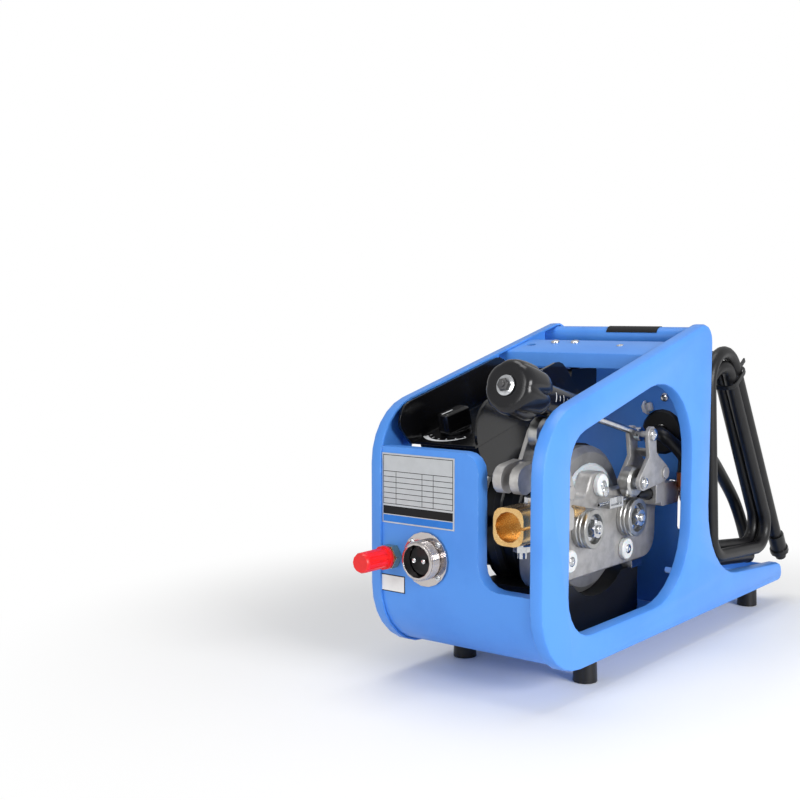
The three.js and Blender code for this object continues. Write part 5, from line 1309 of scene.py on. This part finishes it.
def lead_clip():
    bm = bmesh.new()
    bmesh.ops.create_cube(bm, size=1)
    bmesh.ops.scale(bm, verts=bm.verts, vec=CLIP_SIZE * MM)
    bmesh.ops.translate(bm, verts=bm.verts, vec=Vector((0, 0, CLIP_SIZE.z / 2)) * MM)
    bmesh.ops.bevel(bm, geom=bm.edges, offset=CLIP_EDGE * MM, segments=3, affect="EDGES")
    mesh = bpy.data.meshes.new("lead_clip")
    bm.to_mesh(mesh)
    bm.free()
    place = seat("rear_bulkhead", at(BULKHEAD_FRONT, -22, 229), (-1, 0, 0), 0.003)
    clip = stand_on("lead_clip", mesh, place, (-1, 0, 0), "frame", white_nylon, 0.3)
    bends = [math.pi * k / LOOP_STEPS for k in range(LOOP_STEPS + 1)]
    arch = [Vector((0, LOOP_RADIUS * math.cos(a), LOOP_FOOT + LOOP_RADIUS * math.sin(a))) for a in bends]
    loop = tube("lead_clip_loop", [p * MM for p in arch], LOOP_THICK / 2 * MM)
    loop.matrix_world = clip.matrix_world
    loop.data.materials.append(white_nylon)
    shade_piece(loop)
    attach(loop, "frame")
    return place


print("clip seat", [round(v, 4) for v in lead_clip()])

# %% [markdown]
# ## Floor, background and light
# The feeder stands on a pale floor that fades into a plain white background, so that only its own shadow
# ties it to the ground. Large soft lamps stand in for a studio: the strongest is on the drive side, because
# in the photograph that side is much brighter than the front panel.

# %% Floor
WHITE = (1, 1, 1, 1)
FADE = (0.26, 0.62)
FLOOR_SIZE, FLOOR_GAP = 6, 0.0004


def pale_floor():
    mesh = bpy.data.meshes.new("floor")
    size = FLOOR_SIZE
    z = cad_box[0][2] - FLOOR_GAP
    corners = [(-size, -size, z), (size, -size, z), (size, size, z), (-size, size, z)]
    mesh.from_pydata(corners, [], [(0, 1, 2, 3)])
    floor = linked("floor", mesh)
    material, tree, shader = fresh("floor_white", Base_Color=(0.95, 0.95, 0.95, 1), Roughness=0.6)
    glow = add(tree, "Emission", {"Color": WHITE})
    coords = add(tree, "TexCoord")
    distance = add(tree, "VectorMath", operation="LENGTH")
    fade = add(tree, "MapRange", {"From Min": FADE[0], "From Max": FADE[1]}, interpolation_type="SMOOTHSTEP")
    mix = add(tree, "MixShader")
    wire(
        tree, (coords, "Object", distance, 0), (distance, "Value", fade, "Value"),
        (fade, "Result", mix, "Fac"), (shader, "BSDF", mix, 1), (glow, "Emission", mix, 2),
        (mix, "Shader", tree.nodes["Material Output"], "Surface"),
    )
    floor.data.materials.append(material)
    return floor


floor = pale_floor()
print("floor at z", round(floor.data.vertices[0].co.z, 4))


# %% [markdown]
# The world is full white where the camera sees it. Glossy surfaces reflect that white too, at part strength.
# The rest of the light that it gives the feeder is weak, so that the lamps shape it.

# %% Background
WORLD_STRENGTH, REFLECTED_SHARE = 0.30, 0.45


def white_world():
    world = bpy.data.worlds.new("studio")
    scene.world = world
    world.use_nodes = True
    tree = world.node_tree
    tree.nodes.clear()
    seen = add(tree, "Background", {"Color": WHITE, "Strength": 1})
    soft = add(tree, "Background", {"Color": WHITE, "Strength": WORLD_STRENGTH})
    path = add(tree, "LightPath")
    reflected = add(tree, "Math", operation="MAXIMUM")
    dimmed = add(tree, "Math", {1: REFLECTED_SHARE}, operation="MULTIPLY")
    shown = add(tree, "Math", operation="MAXIMUM")
    mix = add(tree, "MixShader")
    wire(
        tree, (path, "Is Glossy Ray", reflected, 0), (path, "Is Transmission Ray", reflected, 1),
        (reflected, 0, dimmed, 0), (dimmed, 0, shown, 0), (path, "Is Camera Ray", shown, 1),
        (shown, 0, mix, "Fac"), (soft, 0, mix, 1), (seen, 0, mix, 2),
        (mix, 0, add(tree, "OutputWorld"), "Surface"),
    )


white_world()
print("world strength", WORLD_STRENGTH)


# %% Lamps
def lamp(name, place, target, size, watts):
    light = bpy.data.lights.new(name, "AREA")
    light.shape = "RECTANGLE"
    light.size, light.size_y = size
    light.energy = watts
    piece = linked(name, light)
    place, target = Vector(place), Vector(target)
    aim = (target - place).to_track_quat("-Z", "Y").to_matrix().to_4x4()
    piece.matrix_world = Matrix.Translation(place) @ aim
    return piece


middle = (0.02, -0.02, 0.16)
lamps = [
    lamp("side_lamp", (-0.5, -2.0, 0.75), middle, (1.1, 0.8), 44),
    lamp("front_lamp", (-1.9, 0.2, 0.8), middle, (0.8, 0.8), 10),
    lamp("top_lamp", (0.0, 0.2, 2.2), middle, (1.2, 1.2), 17),
]
print("lamps", [(piece.name, piece.data.energy) for piece in lamps])

# %% Update the scene
bpy.context.view_layer.update()
